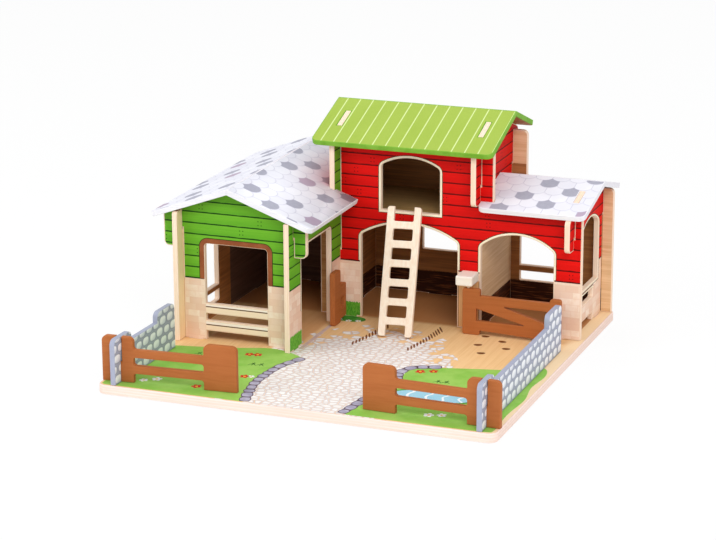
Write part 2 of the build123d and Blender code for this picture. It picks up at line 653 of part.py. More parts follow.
def make_stable_gate():
    low, high = LEAF_Y
    stile = fillet(area(low, low + LEAF_STILE, FLOOR, LEAF_STILE_TOP).vertices(), LEAF_R)
    body = stile + fillet(area(low + LAP, high, LEAF_LOW_Z, LEAF_LOW_TOP).vertices(), LEAF_R)
    slot = rounded(low + LEAF_STILE, high - LEAF_BORDER, *LEAF_SLOT_Z, SLIT_R)
    board = sanded(across(body - slot, LEAF_X), Axis.X)
    bore = Cylinder(LEAF_PIN_R, LEAF_PIN_IN, align=(Align.CENTER, Align.CENTER, Align.MIN))
    return board - Pos(LEAF_X + BOARD / 2, LEAF_PIVOT_Y, FLOOR) * bore


# ---------------------------------------------------------------- loose pieces
def make_ladder():
    half = LADDER_W / 2
    body = fillet(area(-half, half, 0, LADDER_LEN).vertices(), LADDER_R)
    inner = half - LADDER_STILE
    bottom = FIRST_RUNG_Z
    foot_gap = area(-inner, inner, -LAP, bottom)
    body -= soften(foot_gap, [(-inner, bottom), (inner, bottom)], SLIT_R)
    for n in range(RUNGS):
        low = FIRST_RUNG_Z + n * RUNG_PITCH + RUNG
        if n < RUNGS - 1:
            body -= rounded(-inner, inner, low, low + RUNG_PITCH - RUNG, SLIT_R)
        else:
            top_gap = area(-inner, inner, low, LADDER_LEN + LAP)
            body -= soften(top_gap, [(-inner, low), (inner, low)], SLIT_R)
    board = extrude(Plane.XZ * body, BOARD)
    board = sanded(board, Axis.Y)
    stand = Pos(LADDER_FOOT[0], LADDER_FOOT[1], FLOOR) * Rot(0, 0, LADDER_YAW)
    return stand * Rot(-LADDER_TILT, 0, 0) * board


def turned(piece, x, y, angle):
    """Piece turned on the base about an upright line."""
    return Pos(x, y, 0) * Rot(0, 0, angle) * Pos(-x, -y, 0) * piece


def crossing_y(inner_x, wall_x, angle):
    """Middle of the turned fence, in Y, where it crosses the middle of a stone wall."""
    run = wall_x + BOARD / 2 - inner_x
    return FENCE_Y + BOARD / 2 + run * math.tan(math.radians(angle))


def fence(x_low, x_high, post_a, post_b, wall_x, inner_x, angle):
    body = area(x_low, x_high, LOW_RAIL[0], LOW_RAIL[1])
    body += area(x_low, x_high, TOP_RAIL[0], TOP_RAIL[1])
    for low, high in ((x_low, post_a), (post_b, x_high)):
        post = area(low, high, FLOOR, POST_TOP)
        body += soften(post, [(low, POST_TOP), (high, POST_TOP)], POST_R)
    inside = [(x, z) for x in (post_a, post_b) for z in LOW_RAIL + TOP_RAIL]
    body = soften(body, inside, FENCE_INNER_R)
    run = (wall_x + BOARD / 2 - inner_x) / math.cos(math.radians(angle))
    middle = inner_x + run
    half = BOARD / 2 + LAP_PLAY
    body -= area(middle - half, middle + half, FENCE_CROSS_Z - SEAT, TALL)
    board = sanded(facing(body, FENCE_Y), Axis.Y)
    return turned(board, inner_x, FENCE_Y + BOARD / 2, angle)


def stone_wall(x, end, step, top, crossing, angle):
    body = area(STONE_NOSE_Y, step + LAP, FLOOR, STONE_TOP)
    nose = area(STONE_NOSE_Y, NOSE_BLOCK_Y, FLOOR, NOSE_BLOCK_TOP)
    body += soften(nose, [(STONE_NOSE_Y, NOSE_BLOCK_TOP), (NOSE_BLOCK_Y, NOSE_BLOCK_TOP)], STONE_R)
    tall = area(step, end, FLOOR, top)
    body += soften(tall, [(step, top), (end, top)], STONE_R)
    half = BOARD / 2 + LAP_PLAY
    body -= area(crossing - half, crossing + half, 0, FENCE_CROSS_Z + SEAT)
    board = sanded(across(body, x), Axis.X)
    return turned(board, x + BOARD / 2, crossing, angle)


# ---------------------------------------------------------------- write every node
stable_battens = batten(STABLE_RIDGE_X, STABLE_RIDGE_Z, STABLE_SLOPE, STABLE_SLOPE,
                        Plane.XZ.offset(-(BACK_Y - BATTEN_END)),
                        BACK_Y - BATTEN_END - (GABLE_Y + BOARD + BATTEN_END))
barn_batten_x = MIDDLE_WALL_X + BOARD + BATTEN_END
barn_batten = batten(BARN_RIDGE_Y, BARN_RIDGE_Z, BARN_SLOPE_FRONT, BARN_SLOPE_REAR,
                     Plane.YZ.offset(barn_batten_x), BARN_WALL_X - BATTEN_END - barn_batten_x)
lean_batten_x = BARN_WALL_X + BOARD + BATTEN_END
lean_batten = batten(LEAN_RIDGE_Y, LEAN_RIDGE_Z, LEAN_SLOPE_FRONT, LEAN_SLOPE_REAR,
                     Plane.YZ.offset(lean_batten_x), RIGHT_WALL_X - BATTEN_END - lean_batten_x)

left_crossing = crossing_y(LEFT_FENCE_X[1], LEFT_STONE_X, LEFT_FENCE_TURN)
right_crossing = crossing_y(RIGHT_FENCE_X[0], RIGHT_STONE_X, RIGHT_FENCE_TURN)

nodes = {
    "base_board": make_base(),
    "stable_front_panel": make_stable_front(),
    "stable_side_panel": make_stable_side(),
    "middle_wall": make_middle_wall(),
    "barn_front_panel": make_red_front(),
    "barn_side_panel": make_barn_side(),
    "lean_to_side_panel": make_right_wall(),
    "back_panel": make_back(),
    "loft_floor": make_loft(),
    "barn_roof_front": make_barn_roof(BARN_EAVE_Y[0], BARN_SLOPE_FRONT, BARN_TAB_FRONT),
    "barn_roof_rear": make_barn_roof(BARN_EAVE_Y[1], BARN_SLOPE_REAR, BARN_TAB_REAR),
    "barn_roof_batten": barn_batten,
    "lean_to_roof_front": make_lean_roof(LEAN_EAVE_Y[0], LEAN_SLOPE_FRONT, LEAN_TAB_FRONT,
                                         RED_Y, RED_TALL_X),
    "lean_to_roof_rear": make_lean_roof(LEAN_EAVE_Y[1], LEAN_SLOPE_REAR, LEAN_TAB_REAR,
                                        BACK_Y, BACK_TALL_X),
    "lean_to_roof_batten": lean_batten,
    "stable_roof_left": make_stable_roof(STABLE_EAVE_X[0]),
    "stable_roof_right": make_stable_roof(STABLE_EAVE_X[1]),
    "stable_roof_batten": stable_battens,
    "gate_hinge_block": make_hinge_block(),
    "gate": make_gate(),
    "gate_pins": make_gate_pins(),
    "stable_gate": make_stable_gate(),
    "stable_gate_pin": pin(LEAF_X + BOARD / 2, LEAF_PIVOT_Y, BASE_THICK - PIN_OUT,
                           FLOOR + LEAF_PIN_IN, LEAF_PIN_R),
    "ladder": make_ladder(),
    "left_fence": fence(*LEFT_FENCE_X, *LEFT_POST, LEFT_STONE_X, LEFT_FENCE_X[1], LEFT_FENCE_TURN),
    "left_stone_wall": stone_wall(LEFT_STONE_X, LEFT_STONE_END, LEFT_BLOCK_Y, LEFT_BLOCK_TOP,
                                  left_crossing, LEFT_WALL_TURN),
    "right_fence": fence(*RIGHT_FENCE_X, *RIGHT_POST, RIGHT_STONE_X, RIGHT_FENCE_X[0], RIGHT_FENCE_TURN),
    "right_stone_wall": stone_wall(RIGHT_STONE_X, RIGHT_STONE_END, RIGHT_BLOCK_Y, RIGHT_BLOCK_TOP,
                                   right_crossing, 0),
}

home = Pos(-BASE_SIDE / 2, -BASE_SIDE / 2, 0)
for name, piece in nodes.items():
    placed = home * piece
    placed.label = name
    export_step(placed, "parts/" + name + ".step")
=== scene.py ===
import json
import math
import random
import bmesh
import bpy
from mathutils import Matrix, Vector


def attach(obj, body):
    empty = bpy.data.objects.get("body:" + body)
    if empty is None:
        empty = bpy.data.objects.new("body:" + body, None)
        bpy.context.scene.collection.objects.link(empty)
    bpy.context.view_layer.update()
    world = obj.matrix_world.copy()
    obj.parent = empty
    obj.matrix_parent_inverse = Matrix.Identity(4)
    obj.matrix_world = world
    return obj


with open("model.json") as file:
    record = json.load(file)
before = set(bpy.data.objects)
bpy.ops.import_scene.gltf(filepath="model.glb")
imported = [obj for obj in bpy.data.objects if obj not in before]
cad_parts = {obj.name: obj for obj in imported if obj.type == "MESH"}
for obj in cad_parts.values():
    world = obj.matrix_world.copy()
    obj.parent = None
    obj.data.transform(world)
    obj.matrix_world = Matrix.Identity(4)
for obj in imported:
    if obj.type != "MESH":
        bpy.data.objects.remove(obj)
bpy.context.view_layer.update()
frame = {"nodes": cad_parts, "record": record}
nodes = frame["nodes"]

# Lengths below are millimetres from the base board's front left corner; at() turns
# them into metres about the middle of the base.
HALF_BASE = 225.0
MM = 0.001
BASE_TOP = 10.5
X, Y, Z = 0, 1, 2
FRONT, REAR = (0, -1, 0), (0, 1, 0)
LEFT, RIGHT = (-1, 0, 0), (1, 0, 0)

# printed heights and pitches
STONE_LINE_GREEN = 81.6
STONE_LINE_RED = 77.3
PLANK_PITCH = 12.8
PLANK_LINE = 1.6
NAIL_PITCH = 52.0
BLOCK_LENGTH = 14.5
BLOCK_HEIGHT = 7.4
# top of the dark skirting, which is part print and part painted shade
SHADED_SKIRTING_TOP = 39.0
PRINT_MARGIN = 0.7
INNER_MARGIN = 0.15      # bare rim round the prints inside the rooms
PRINT_LIFT = 0.01        # the prints' undersides stand this far off the boards
PRINT_THICK = 0.04
BAND_THICK = 0.02
BAND_LEVEL = 0.09        # heights of the bands' tops over the board
OUTLINE_LEVEL = 0.08
GREEN_ROOF_STRIPE = 15.65
TILE_WIDTH = 21.5
TILE_ROW = 16.5
TILE_LINE = 0.5
STONE_PITCH, STONE_ROW = 16.6, 11.3      # round stones of the two walls
STONE_LONG, STONE_TALL = 14.0, 9.4
RAIL_ZONE = (47.0, 122.4)        # the hay opening's rails run between these
RAIL_TOP = 56.0
RAIL_LINES = (28.5, 49.6)
ARCH_POST = (297.0, 326.5)       # the post between the two arches
ARCH_POST_MIDDLE = 311.7
ARCH_POST_TOP = 68.0

# where one print gives way to another on the same board
BARN_FRONT_Y = 326.0             # the middle wall is inside the barn behind this
STABLE_RIGHT_X = 149.0           # the stable's inside ends here
STABLE_BACK_X = 152.0            # the back is green up to here, red past it
STABLE_ROOF_Z = 164.0            # walls show above the stable's roof
LEAN_TO_ROOF_Z = 157.0           # and above the lean-to's
STALL_SHADE_Y = 185.0            # the stable's inner side is darkened behind the gable as painted shade
STALL_DEEP_SHADE_Y = 310.0              # and darker still further back, deeper painted shade
LEAN_TO_BACK = (325.0, 180.0)    # the back stands bare right of and above these
LEAN_TO_EDGE_X = 435.6


def at(x, y, z):
    """Millimetres from the corner to metres about the middle of the base."""
    return Vector(((x - HALF_BASE) * MM, (y - HALF_BASE) * MM, z * MM))


def paint(colour):
    """A colour's 0 to 255 values as a linear colour; a socket stays as it is."""
    if isinstance(colour, bpy.types.NodeSocket):
        return colour
    shares = [value / 255 for value in colour]
    linear = (share / 12.92 if share <= 0.04045 else ((share + 0.055) / 1.055) ** 2.4 for share in shares)
    return (*linear, 1.0)


# ---------------------------------------------------------------- node helpers
def laying(operation):
    """A method that lays one kind of math node."""
    return lambda recipe, *values: recipe.math(operation, *values)


class Recipe:
    """Lays out the nodes of one material, world or shared effect."""
    plus, minus, times, over = laying("ADD"), laying("SUBTRACT"), laying("MULTIPLY"), laying("DIVIDE")
    least, most, power, root = laying("MINIMUM"), laying("MAXIMUM"), laying("POWER"), laying("SQRT")
    whole, part, size = laying("FLOOR"), laying("FRACT"), laying("ABSOLUTE")
    above, below = laying("GREATER_THAN"), laying("LESS_THAN")      # one where true, else nought

    def __init__(self, tree):
        self.tree = tree

    def node(self, kind, inputs=None, **settings):
        """New node with its settings, and its inputs fed with values or sockets."""
        made = self.tree.nodes.new(kind)
        for key, value in settings.items():
            setattr(made, key, value)
        for key, value in (inputs or {}).items():
            self.feed(made.inputs[key], value)
        return made

    def feed(self, socket, value):
        """Joins a socket to an input, or sets the input's own value."""
        if isinstance(value, bpy.types.NodeSocket):
            self.tree.links.new(value, socket)
        else:
            socket.default_value = value

    def math(self, operation, *values):
        return self.node("ShaderNodeMath", dict(enumerate(values)), operation=operation).outputs[0]

    def vector(self, operation, *values):
        return self.node("ShaderNodeVectorMath", dict(enumerate(values)), operation=operation).outputs[0]

    def join(self, x=0.0, y=0.0, z=0.0):
        return self.node("ShaderNodeCombineXYZ", {0: x, 1: y, 2: z}).outputs[0]

    def split(self, vector):
        return tuple(self.node("ShaderNodeSeparateXYZ", {0: vector}).outputs)

    def distance(self, first, second):
        """Length of a run with these two sides."""
        return self.root(self.plus(self.power(first, 2.0), self.power(second, 2.0)))

    def between(self, value, low, high):
        """One where the value lies between two limits, nought elsewhere."""
        return self.times(self.above(value, low), self.below(value, high))

    def mix(self, factor, first, second):
        """Two colours, mingled; each is a socket or its 0 to 255 values."""
        inputs = {0: factor, 6: paint(first), 7: paint(second)}
        return self.node("ShaderNodeMix", inputs, data_type="RGBA").outputs[2]

    def wash(self, colour, mask, strength, tint):
        """The colour with a tint over it, at most as strong as given."""
        return self.mix(self.times(mask, strength), colour, tint)

    def step(self, value, low, high):
        """Nought below one limit, one past the other, smooth between them."""
        made = self.node("ShaderNodeMapRange", {"Value": value, "From Min": low, "From Max": high},
                         interpolation_type="SMOOTHSTEP")
        return made.outputs[0]

    def noise(self, vector, scale, detail=2.0, roughness=0.5, output="Fac"):
        settings = {"Vector": vector, "Scale": scale, "Detail": detail, "Roughness": roughness}
        return self.node("ShaderNodeTexNoise", settings).outputs[output]

    def chance(self, vector):
        """A number that only the vector decides."""
        return self.node("ShaderNodeTexWhiteNoise", {"Vector": vector}).outputs["Value"]

    def measure(self):
        """Lays out the place on the object, in millimetres from the base's corner."""
        spot = self.node("ShaderNodeTexCoord").outputs["Object"]
        self.spot = self.vector("MULTIPLY_ADD", spot, (1000, 1000, 1000), (HALF_BASE, HALF_BASE, 0))
        self.axes = self.x, self.y, self.z = self.split(self.spot)

    def effect(self, group, **values):
        """A shared effect, fed with its own values."""
        return self.node("ShaderNodeGroup", values, node_tree=group).outputs

    def grain(self, way):
        """The wood's grain, with its streaks along the given axis."""
        return self.effect(wood_grain, Place=self.spot, Stretch=GRAIN_WAYS[way])


def shared_effect(name, *inputs, kind="Float"):
    """Makes a node group of the recipe that follows; the names in the dict that it gives back
    are the group's outputs."""
    def make(build):
        tree = bpy.data.node_groups.new(name, "ShaderNodeTree")
        for key in inputs:
            tree.interface.new_socket(key, in_out="INPUT", socket_type="NodeSocket" + kind)
        r = Recipe(tree)
        given = r.node("NodeGroupInput").outputs
        results = build(r, *(given[key] for key in inputs))
        for key in results:
            tree.interface.new_socket(key, in_out="OUTPUT", socket_type="NodeSocketFloat")
        r.node("NodeGroupOutput", results)
        return tree
    return make


# ---------------------------------------------------------------- shared effects
@shared_effect("wood_grain", "Place", "Stretch", kind="Vector")
def wood_grain(r, place, stretch):
    """Long streaks of grain; Stretch is small along the grain and large across it."""
    drawn = r.vector("MULTIPLY", place, stretch)
    bend = r.noise(drawn, 0.35, 3.0, 0.5, "Color")
    bent = r.vector("MULTIPLY_ADD", bend, (1.6, 1.6, 1.6), drawn)
    fine = r.noise(r.vector("MULTIPLY", bent, (3.1, 3.1, 3.1)), 1.0, 3.0, 0.7)
    return {"Tone": r.noise(bent, 1.0, 5.0, 0.62), "Streak": r.step(fine, 0.34, 0.66)}


@shared_effect("plank_lines", "Up", "Along", "Seed")
def plank_lines(r, up, along, seed):
    """Printed boards one above another, with thin dark joints and paired nail marks."""
    share = r.over(up, PLANK_PITCH)
    row = r.whole(share)
    above = r.times(r.part(share), PLANK_PITCH)
    wobble = r.noise(r.join(along, row, seed), 0.11, 2.0)
    spread = r.minus(above, r.times(r.plus(wobble, 0.5), PLANK_LINE))
    shift = r.chance(r.join(row, seed, 7.0))
    cell_share = r.plus(r.over(along, NAIL_PITCH), r.times(shift, 5.0))
    luck = r.chance(r.join(r.whole(cell_share), row, seed))
    beside = r.times(r.minus(r.part(cell_share), 0.5), NAIL_PITCH)
    middle = r.minus(above, PLANK_PITCH * 0.54)
    dot = r.step(r.distance(r.minus(r.size(beside), 1.9), r.minus(r.size(middle), 2.2)), 0.85, 0.5)
    return {"Line": r.step(spread, 0.16, -0.16), "Shade": r.chance(r.join(row, seed, 3.0)),
            "Mark": r.times(dot, r.above(luck, 0.6)), "Rise": r.part(share)}


@shared_effect("stone_courses", "Along", "Up", "Seed")
def stone_courses(r, along, up, seed):
    """Printed courses of pale stone blocks."""
    row_share = r.over(up, BLOCK_HEIGHT)
    row = r.whole(row_share)
    shift = r.times(r.chance(r.join(row, seed, 1.0)), 0.9)
    share = r.plus(r.over(along, BLOCK_LENGTH), shift)
    across = r.times(r.part(share), BLOCK_LENGTH)
    upward = r.times(r.part(row_share), BLOCK_HEIGHT)
    side = r.least(across, r.minus(BLOCK_LENGTH, across))
    level = r.least(upward, r.minus(BLOCK_HEIGHT, upward))
    return {"Tone": r.chance(r.join(r.whole(share), row, seed)),
            "Joint": r.step(r.least(side, level), 0.75, 0.15),
            "Mottle": r.noise(r.join(along, up, seed), 0.16, 4.0, 0.6)}


@shared_effect("roof_scales", "Along", "Up", "Width", "Seed")
def roof_scales(r, along, up, width, seed):
    """Rows of round-ended slates, each row lapped by the one above it."""
    upper = r.plus(r.whole(r.over(up, TILE_ROW)), 1.0)
    lower = r.minus(upper, 1.0)
    radius = r.times(width, 0.6)

    def column_of(row):
        shift = r.times(r.math("MODULO", row, 2.0), 0.5)
        share = r.minus(r.over(along, width), shift)
        whole = r.math("ROUND", share)
        return whole, r.times(r.minus(share, whole), width)

    column, beside = column_of(upper)
    column_low, beside_low = column_of(lower)
    drop = r.root(r.minus(r.power(radius, 2.0), r.power(beside, 2.0)))
    flat = r.times(radius, 0.5528)      # the drop at the slate's sides
    over = r.minus(up, r.minus(r.times(upper, TILE_ROW), r.minus(drop, flat)))
    on_upper = r.above(over, 0.0)
    on_lower = r.minus(1.0, on_upper)

    def pick(high, low):
        return r.plus(r.times(high, on_upper), r.times(low, on_lower))

    row = pick(upper, lower)
    chosen = pick(column, column_low)
    side = r.minus(r.times(width, 0.5), r.size(pick(beside, beside_low)))
    near = r.least(r.size(over), side)
    tone = r.chance(r.join(chosen, row, seed))
    fifth = r.math("FLOORED_MODULO", r.plus(chosen, r.times(row, 2.0)), 5.0)
    return {"Line": r.step(r.minus(near, TILE_LINE), 0.2, -0.2), "Tone": tone,
            "Shadow": r.times(r.step(over, -4.0, 0.0), on_lower),
            "Dark": r.times(r.below(r.size(fifth), 0.5), r.above(tone, 0.15))}


@shared_effect("round_stones", "Along", "Up")
def round_stones(r, along, up):
    """Pale round-cornered stones set in a darker wall."""
    row_share = r.over(up, STONE_ROW)
    row = r.whole(row_share)
    share = r.plus(r.over(along, STONE_PITCH), r.times(r.math("MODULO", row, 2.0), 0.5))
    luck, luck_up = (r.chance(r.join(r.whole(share), row, seed)) for seed in (5.0, 9.0))
    off, off_up = r.minus(luck, 0.5), r.minus(luck_up, 0.5)
    x = r.times(r.minus(r.part(share), 0.5), STONE_PITCH)
    y = r.times(r.minus(r.part(row_share), 0.5), STONE_ROW)
    size = r.plus(0.46, r.times(luck_up, 0.07))
    x_share = r.over(r.minus(x, off), r.times(STONE_LONG, size))
    y_share = r.over(r.minus(y, off_up), r.times(STONE_TALL, size))
    reach = r.plus(r.power(r.size(x_share), 2.8), r.power(r.size(y_share), 2.8))
    inside = r.minus(1.0, r.power(reach, 1 / 2.8))
    return {"Stone": r.step(inside, -0.04, 0.04), "Rim": r.step(r.size(inside), 0.2, 0.06),
            "Lit": r.step(r.plus(y_share, r.times(x_share, -0.5)), -0.9, 0.4)}


# ---------------------------------------------------------------- materials
PAINT_GLOSS = 0.14       # the paint and the bare wood are nearly matt


def empty_recipe(owner):
    """The recipe of a material or a world, with no nodes in it yet."""
    owner.use_nodes = True
    owner.node_tree.nodes.clear()
    return Recipe(owner.node_tree)


def finish_material(name, build, roughness=0.6):
    """New material; build(recipe) gives colour, bump height and its depth."""
    material = bpy.data.materials.new(name)
    r = empty_recipe(material)
    r.measure()
    colour, height, depth = build(r)
    shader = r.node("ShaderNodeBsdfPrincipled", {"Base Color": colour, "Roughness": roughness})
    shader.inputs["Specular IOR Level"].default_value = PAINT_GLOSS
    bump = r.node("ShaderNodeBump", {"Strength": 0.6, "Distance": depth * MM, "Height": height})
    r.feed(shader.inputs["Normal"], bump.outputs[0])
    r.node("ShaderNodeOutputMaterial", {"Surface": shader.outputs[0]})
    return material


def printed(name, roughness=0.6):
    """Makes a material of that name from the recipe that follows."""
    return lambda build: finish_material(name, build, roughness)


# how the grain's pattern is drawn out when its streaks run along x, y and z
GRAIN_WAYS = ((0.012, 0.35, 0.35), (0.35, 0.012, 0.35), (0.35, 0.35, 0.012))
# the pale and the deep tone of each wood; INSIDE, DIM and SHADED are the bare wood darkened as painted shade of
# the rooms, SHADED deepest
BARE = ((255, 232, 210), (248, 214, 184))
INSIDE = ((176, 124, 78), (142, 92, 54))
DIM = ((180, 122, 72), (146, 98, 58))
SHADED = ((122, 90, 76), (98, 70, 58))
PALE_INSIDE = ((240, 204, 162), (222, 180, 134))


def bare_wood(name, way, tones=BARE, plies=None):
    """Sanded bare wood; plies are the axis through them, where they begin and how thick they are."""
    def build(r):
        grain = r.grain(way)
        colour = r.wash(tones[0], r.step(grain["Tone"], 0.35, 0.68), 0.6, tones[1])
        if plies:
            axis, start, thick = plies
            share = r.over(r.minus(r.axes[axis], start), thick)
            odd = r.size(r.math("MODULO", r.whole(share), 2.0))
            glue = r.step(r.size(r.minus(r.part(share), 0.5)), 0.42, 0.49)
            colour = r.wash(colour, odd, 0.22, (232, 196, 160))
            colour = r.wash(colour, glue, 0.22, (196, 148, 112))
        return colour, grain["Streak"], 0.05
    return finish_material(name, build)


def inside_wood(r, way, tones=INSIDE, shaded_skirting=True):
    """Inner face in the given tones of wood, mostly the bare wood darkened as painted shade, with a dark
    skirting at the foot that is part print and part painted shade.
    """
    grain, along = r.grain(way), r.axes[way]
    colour = r.mix(r.step(grain["Tone"], 0.3, 0.7), *tones)
    if shaded_skirting:
        # the dark skirting: part print, part painted shade at the foot of the walls
        ragged = r.noise(r.join(along, 0.0, 0.0), 0.35, 3.0, 0.7)
        top = r.plus(SHADED_SKIRTING_TOP - 2.0, r.times(ragged, 4.0))
        low = r.step(r.minus(r.z, top), 0.4, -0.4)
        streak = r.noise(r.join(r.times(along, 0.07), r.z, 2.0), 0.5, 3.0)
        shaded_skirting_colour = r.mix(r.step(streak, 0.5, 0.66), (58, 26, 14), (122, 72, 40))
        colour = r.mix(low, colour, shaded_skirting_colour)
    return colour, grain["Streak"]


GREEN_BOARDS = ((124, 192, 50), (72, 150, 28), (14, 56, 10))
RED_BOARDS = ((242, 18, 10), (190, 2, 4), (84, 4, 4))


def boards_over_stone(r, way, seed, boards=RED_BOARDS, stone_line=STONE_LINE_RED):
    """Printed boards above a line, pale stone courses below it."""
    tint, dark, mark_tint = boards
    grain, along = r.grain(way), r.axes[way]
    lines = r.effect(plank_lines, Up=r.minus(r.z, stone_line), Along=along, Seed=seed)
    board = r.wash(tint, lines["Shade"], 0.3, dark)
    board = r.wash(board, r.minus(1.0, lines["Rise"]), 0.45, dark)
    board = r.wash(board, r.step(grain["Tone"], 0.35, 0.7), 0.3, dark)
    board = r.wash(board, lines["Mark"], 0.85, mark_tint)
    board = r.wash(board, lines["Line"], 0.92, mark_tint)
    courses = r.effect(stone_courses, Along=along, Up=r.z, Seed=seed)
    stone = r.mix(courses["Tone"], (253, 232, 214), (238, 200, 176))
    stone = r.wash(stone, r.step(courses["Mottle"], 0.35, 0.7), 0.5, (242, 208, 180))
    stone = r.wash(stone, courses["Joint"], 0.3, (232, 192, 164))
    low = r.step(r.minus(r.z, stone_line), 0.15, -0.15)
    colour = r.mix(low, board, stone)
    edge = r.size(r.minus(r.minus(r.z, stone_line), 0.5))
    return r.mix(r.step(edge, 0.75, 0.45), colour, mark_tint), grain["Streak"]


RAIL_CREAM = (255, 240, 230)
RAIL_TAN = (252, 226, 200)
RAIL_LINE = (96, 62, 32)
GRASS_GREEN = (122, 190, 62)


def grass_foot(r, colour, along, top, seed):
    """Tufts of printed grass along the foot of a wall."""
    tuft = r.noise(r.join(along, seed, 0.0), 0.42, 2.0, 0.6)
    blades = r.noise(r.join(along, r.times(r.z, 0.3), seed), 1.1, 2.0)
    edge = r.plus(top - 4.0, r.times(r.plus(tuft, blades), 4.5))
    low = r.step(r.minus(r.z, edge), 0.5, -0.5)
    leaf = r.mix(r.step(blades, 0.35, 0.65), GRASS_GREEN, (80, 156, 44))
    return r.mix(low, colour, leaf)


def rails(r, colour):
    """The two rails across the foot of the hay opening: cream, a dark line, then tan."""
    zone = r.times(r.between(r.x, *RAIL_ZONE), r.below(r.z, RAIL_TOP))
    tan = r.most(r.between(r.z, 37.0, RAIL_LINES[1]), r.below(r.z, RAIL_LINES[0]))
    board = r.mix(tan, RAIL_CREAM, RAIL_TAN)
    for height in RAIL_LINES:
        gap = r.size(r.minus(r.z, height))
        board = r.mix(r.step(gap, 0.8, 0.45), board, RAIL_LINE)
    return r.mix(zone, colour, board)


@printed("gable_print")
def gable_print(r):
    """Green boards over stone, with the rails across the hay opening."""
    colour, streak = boards_over_stone(r, X, 2.0, GREEN_BOARDS, STONE_LINE_GREEN)
    return rails(r, colour), streak, 0.03


@printed("stable_side_print")
def stable_side_print(r):
    """Outer face of the stable: green boards, stone and a grassy foot."""
    colour, streak = boards_over_stone(r, Y, 4.0, GREEN_BOARDS, STONE_LINE_GREEN)
    return grass_foot(r, colour, r.y, 22.0, 1.0), streak, 0.03


@printed("middle_outer_print")
def middle_outer_print(r):
    """Right face of the middle wall: boards in front; inside the barn the wood darkened as painted shade, with
    the dark skirting that is part print and part painted shade.
    """
    outer, streak = boards_over_stone(r, Y, 6.0, GREEN_BOARDS, STONE_LINE_GREEN)
    near = r.step(r.y, 206.0, 203.0)
    grass = grass_foot(r, outer, r.y, 28.0, 3.0)
    outer = r.mix(near, outer, grass)
    inner, _ = inside_wood(r, Y, DIM)
    return r.mix(r.above(r.y, BARN_FRONT_Y), outer, inner), streak, 0.03


@printed("middle_stable_print")
def middle_stable_print(r):
    """Left face of the middle wall: in the stable the wood deeply darkened as painted shade, red above its
    roof.
    """
    inner, streak = inside_wood(r, Y, SHADED, False)
    outer, _ = boards_over_stone(r, Y, 7.0)
    return r.mix(r.above(r.z, STABLE_ROOF_Z), inner, outer), streak, 0.03


@printed("barn_front_print")
def barn_front_print(r):
    """Red front with its stone foot, the post between the arches, and bare wood in the stable."""
    outer, streak = boards_over_stone(r, X, 1.0)
    grass = grass_foot(r, outer, r.x, 27.0, 5.0)
    outer = r.mix(r.step(r.x, 182.0, 179.0), outer, grass)
    column = r.times(r.between(r.x, *ARCH_POST), r.below(r.z, ARCH_POST_TOP))
    side = r.size(r.minus(r.x, ARCH_POST_MIDDLE))
    post = r.mix(r.step(side, 11.6, 12.4), (236, 184, 128), (112, 66, 40))
    outer = r.mix(column, outer, post)
    inner, _ = inside_wood(r, X, ((214, 164, 108), (190, 132, 78)), False)
    return r.mix(r.above(r.x, STABLE_RIGHT_X), inner, outer), streak, 0.03


@printed("barn_side_outer_print")
def barn_side_outer_print(r):
    """Right face of the barn's side wall: pale bare wood in the lean-to with the dark skirting, part print and
    part painted shade; red above it.
    """
    inner, streak = inside_wood(r, Y, PALE_INSIDE)
    outer, _ = boards_over_stone(r, Y, 8.0)
    return r.mix(r.above(r.z, LEAN_TO_ROOF_Z), inner, outer), streak, 0.03


@printed("lean_to_outer_print")
def lean_to_outer_print(r):
    """Right face of the lean-to: red boards over stone."""
    return *boards_over_stone(r, Y, 9.0), 0.03


@printed("back_outer_print")
def back_outer_print(r):
    """Rear face: green behind the stable, red behind the rest."""
    red, streak = boards_over_stone(r, X, 11.0)
    green, _ = boards_over_stone(r, X, 12.0, GREEN_BOARDS)
    return r.mix(r.below(r.x, STABLE_BACK_X), red, green), streak, 0.03


def inner_face(name, way, tones=INSIDE, shaded_skirting=True):
    """Inner face of a board that runs along the given axis: the wood darkened as painted shade, with the dark
    skirting, part print and part painted shade, unless turned off.
    """
    return finish_material(name, lambda r: (*inside_wood(r, way, tones, shaded_skirting), 0.04))


@printed("stable_inner_face")
def stable_inner_face(r):
    """Inner face of the stable's side wall: bare before the gable, darkened behind it as painted shade, and
    darker still towards the back.
    """
    bare, streak = inside_wood(r, Z, ((255, 228, 188), (250, 214, 170)), False)
    brown, _ = inside_wood(r, Y, ((196, 132, 78), (160, 104, 58)), False)
    dim, _ = inside_wood(r, Y, SHADED, False)
    colour = r.mix(r.above(r.y, STALL_SHADE_Y), bare, brown)
    return r.mix(r.above(r.y, STALL_DEEP_SHADE_Y), colour, dim), streak, 0.04


@printed("back_inner_face")
def back_inner_face(r):
    """Front face of the back wall: in the barn the wood darkened as painted shade with the dark skirting, part
    print and part painted shade; deeper painted shade in the stable; pale bare wood where it shows past the
    roofs.
    """
    brown, streak = inside_wood(r, X, DIM)
    dark, _ = inside_wood(r, X, SHADED, False)
    bare, _ = inside_wood(r, X, PALE_INSIDE, False)
    colour = r.mix(r.below(r.x, STABLE_RIGHT_X), brown, dark)
    lean_roof = r.times(r.above(r.x, LEAN_TO_BACK[0]), r.above(r.z, LEAN_TO_BACK[1]))
    past = r.most(r.above(r.x, LEAN_TO_EDGE_X), lean_roof)
    return r.mix(past, colour, bare), streak, 0.04


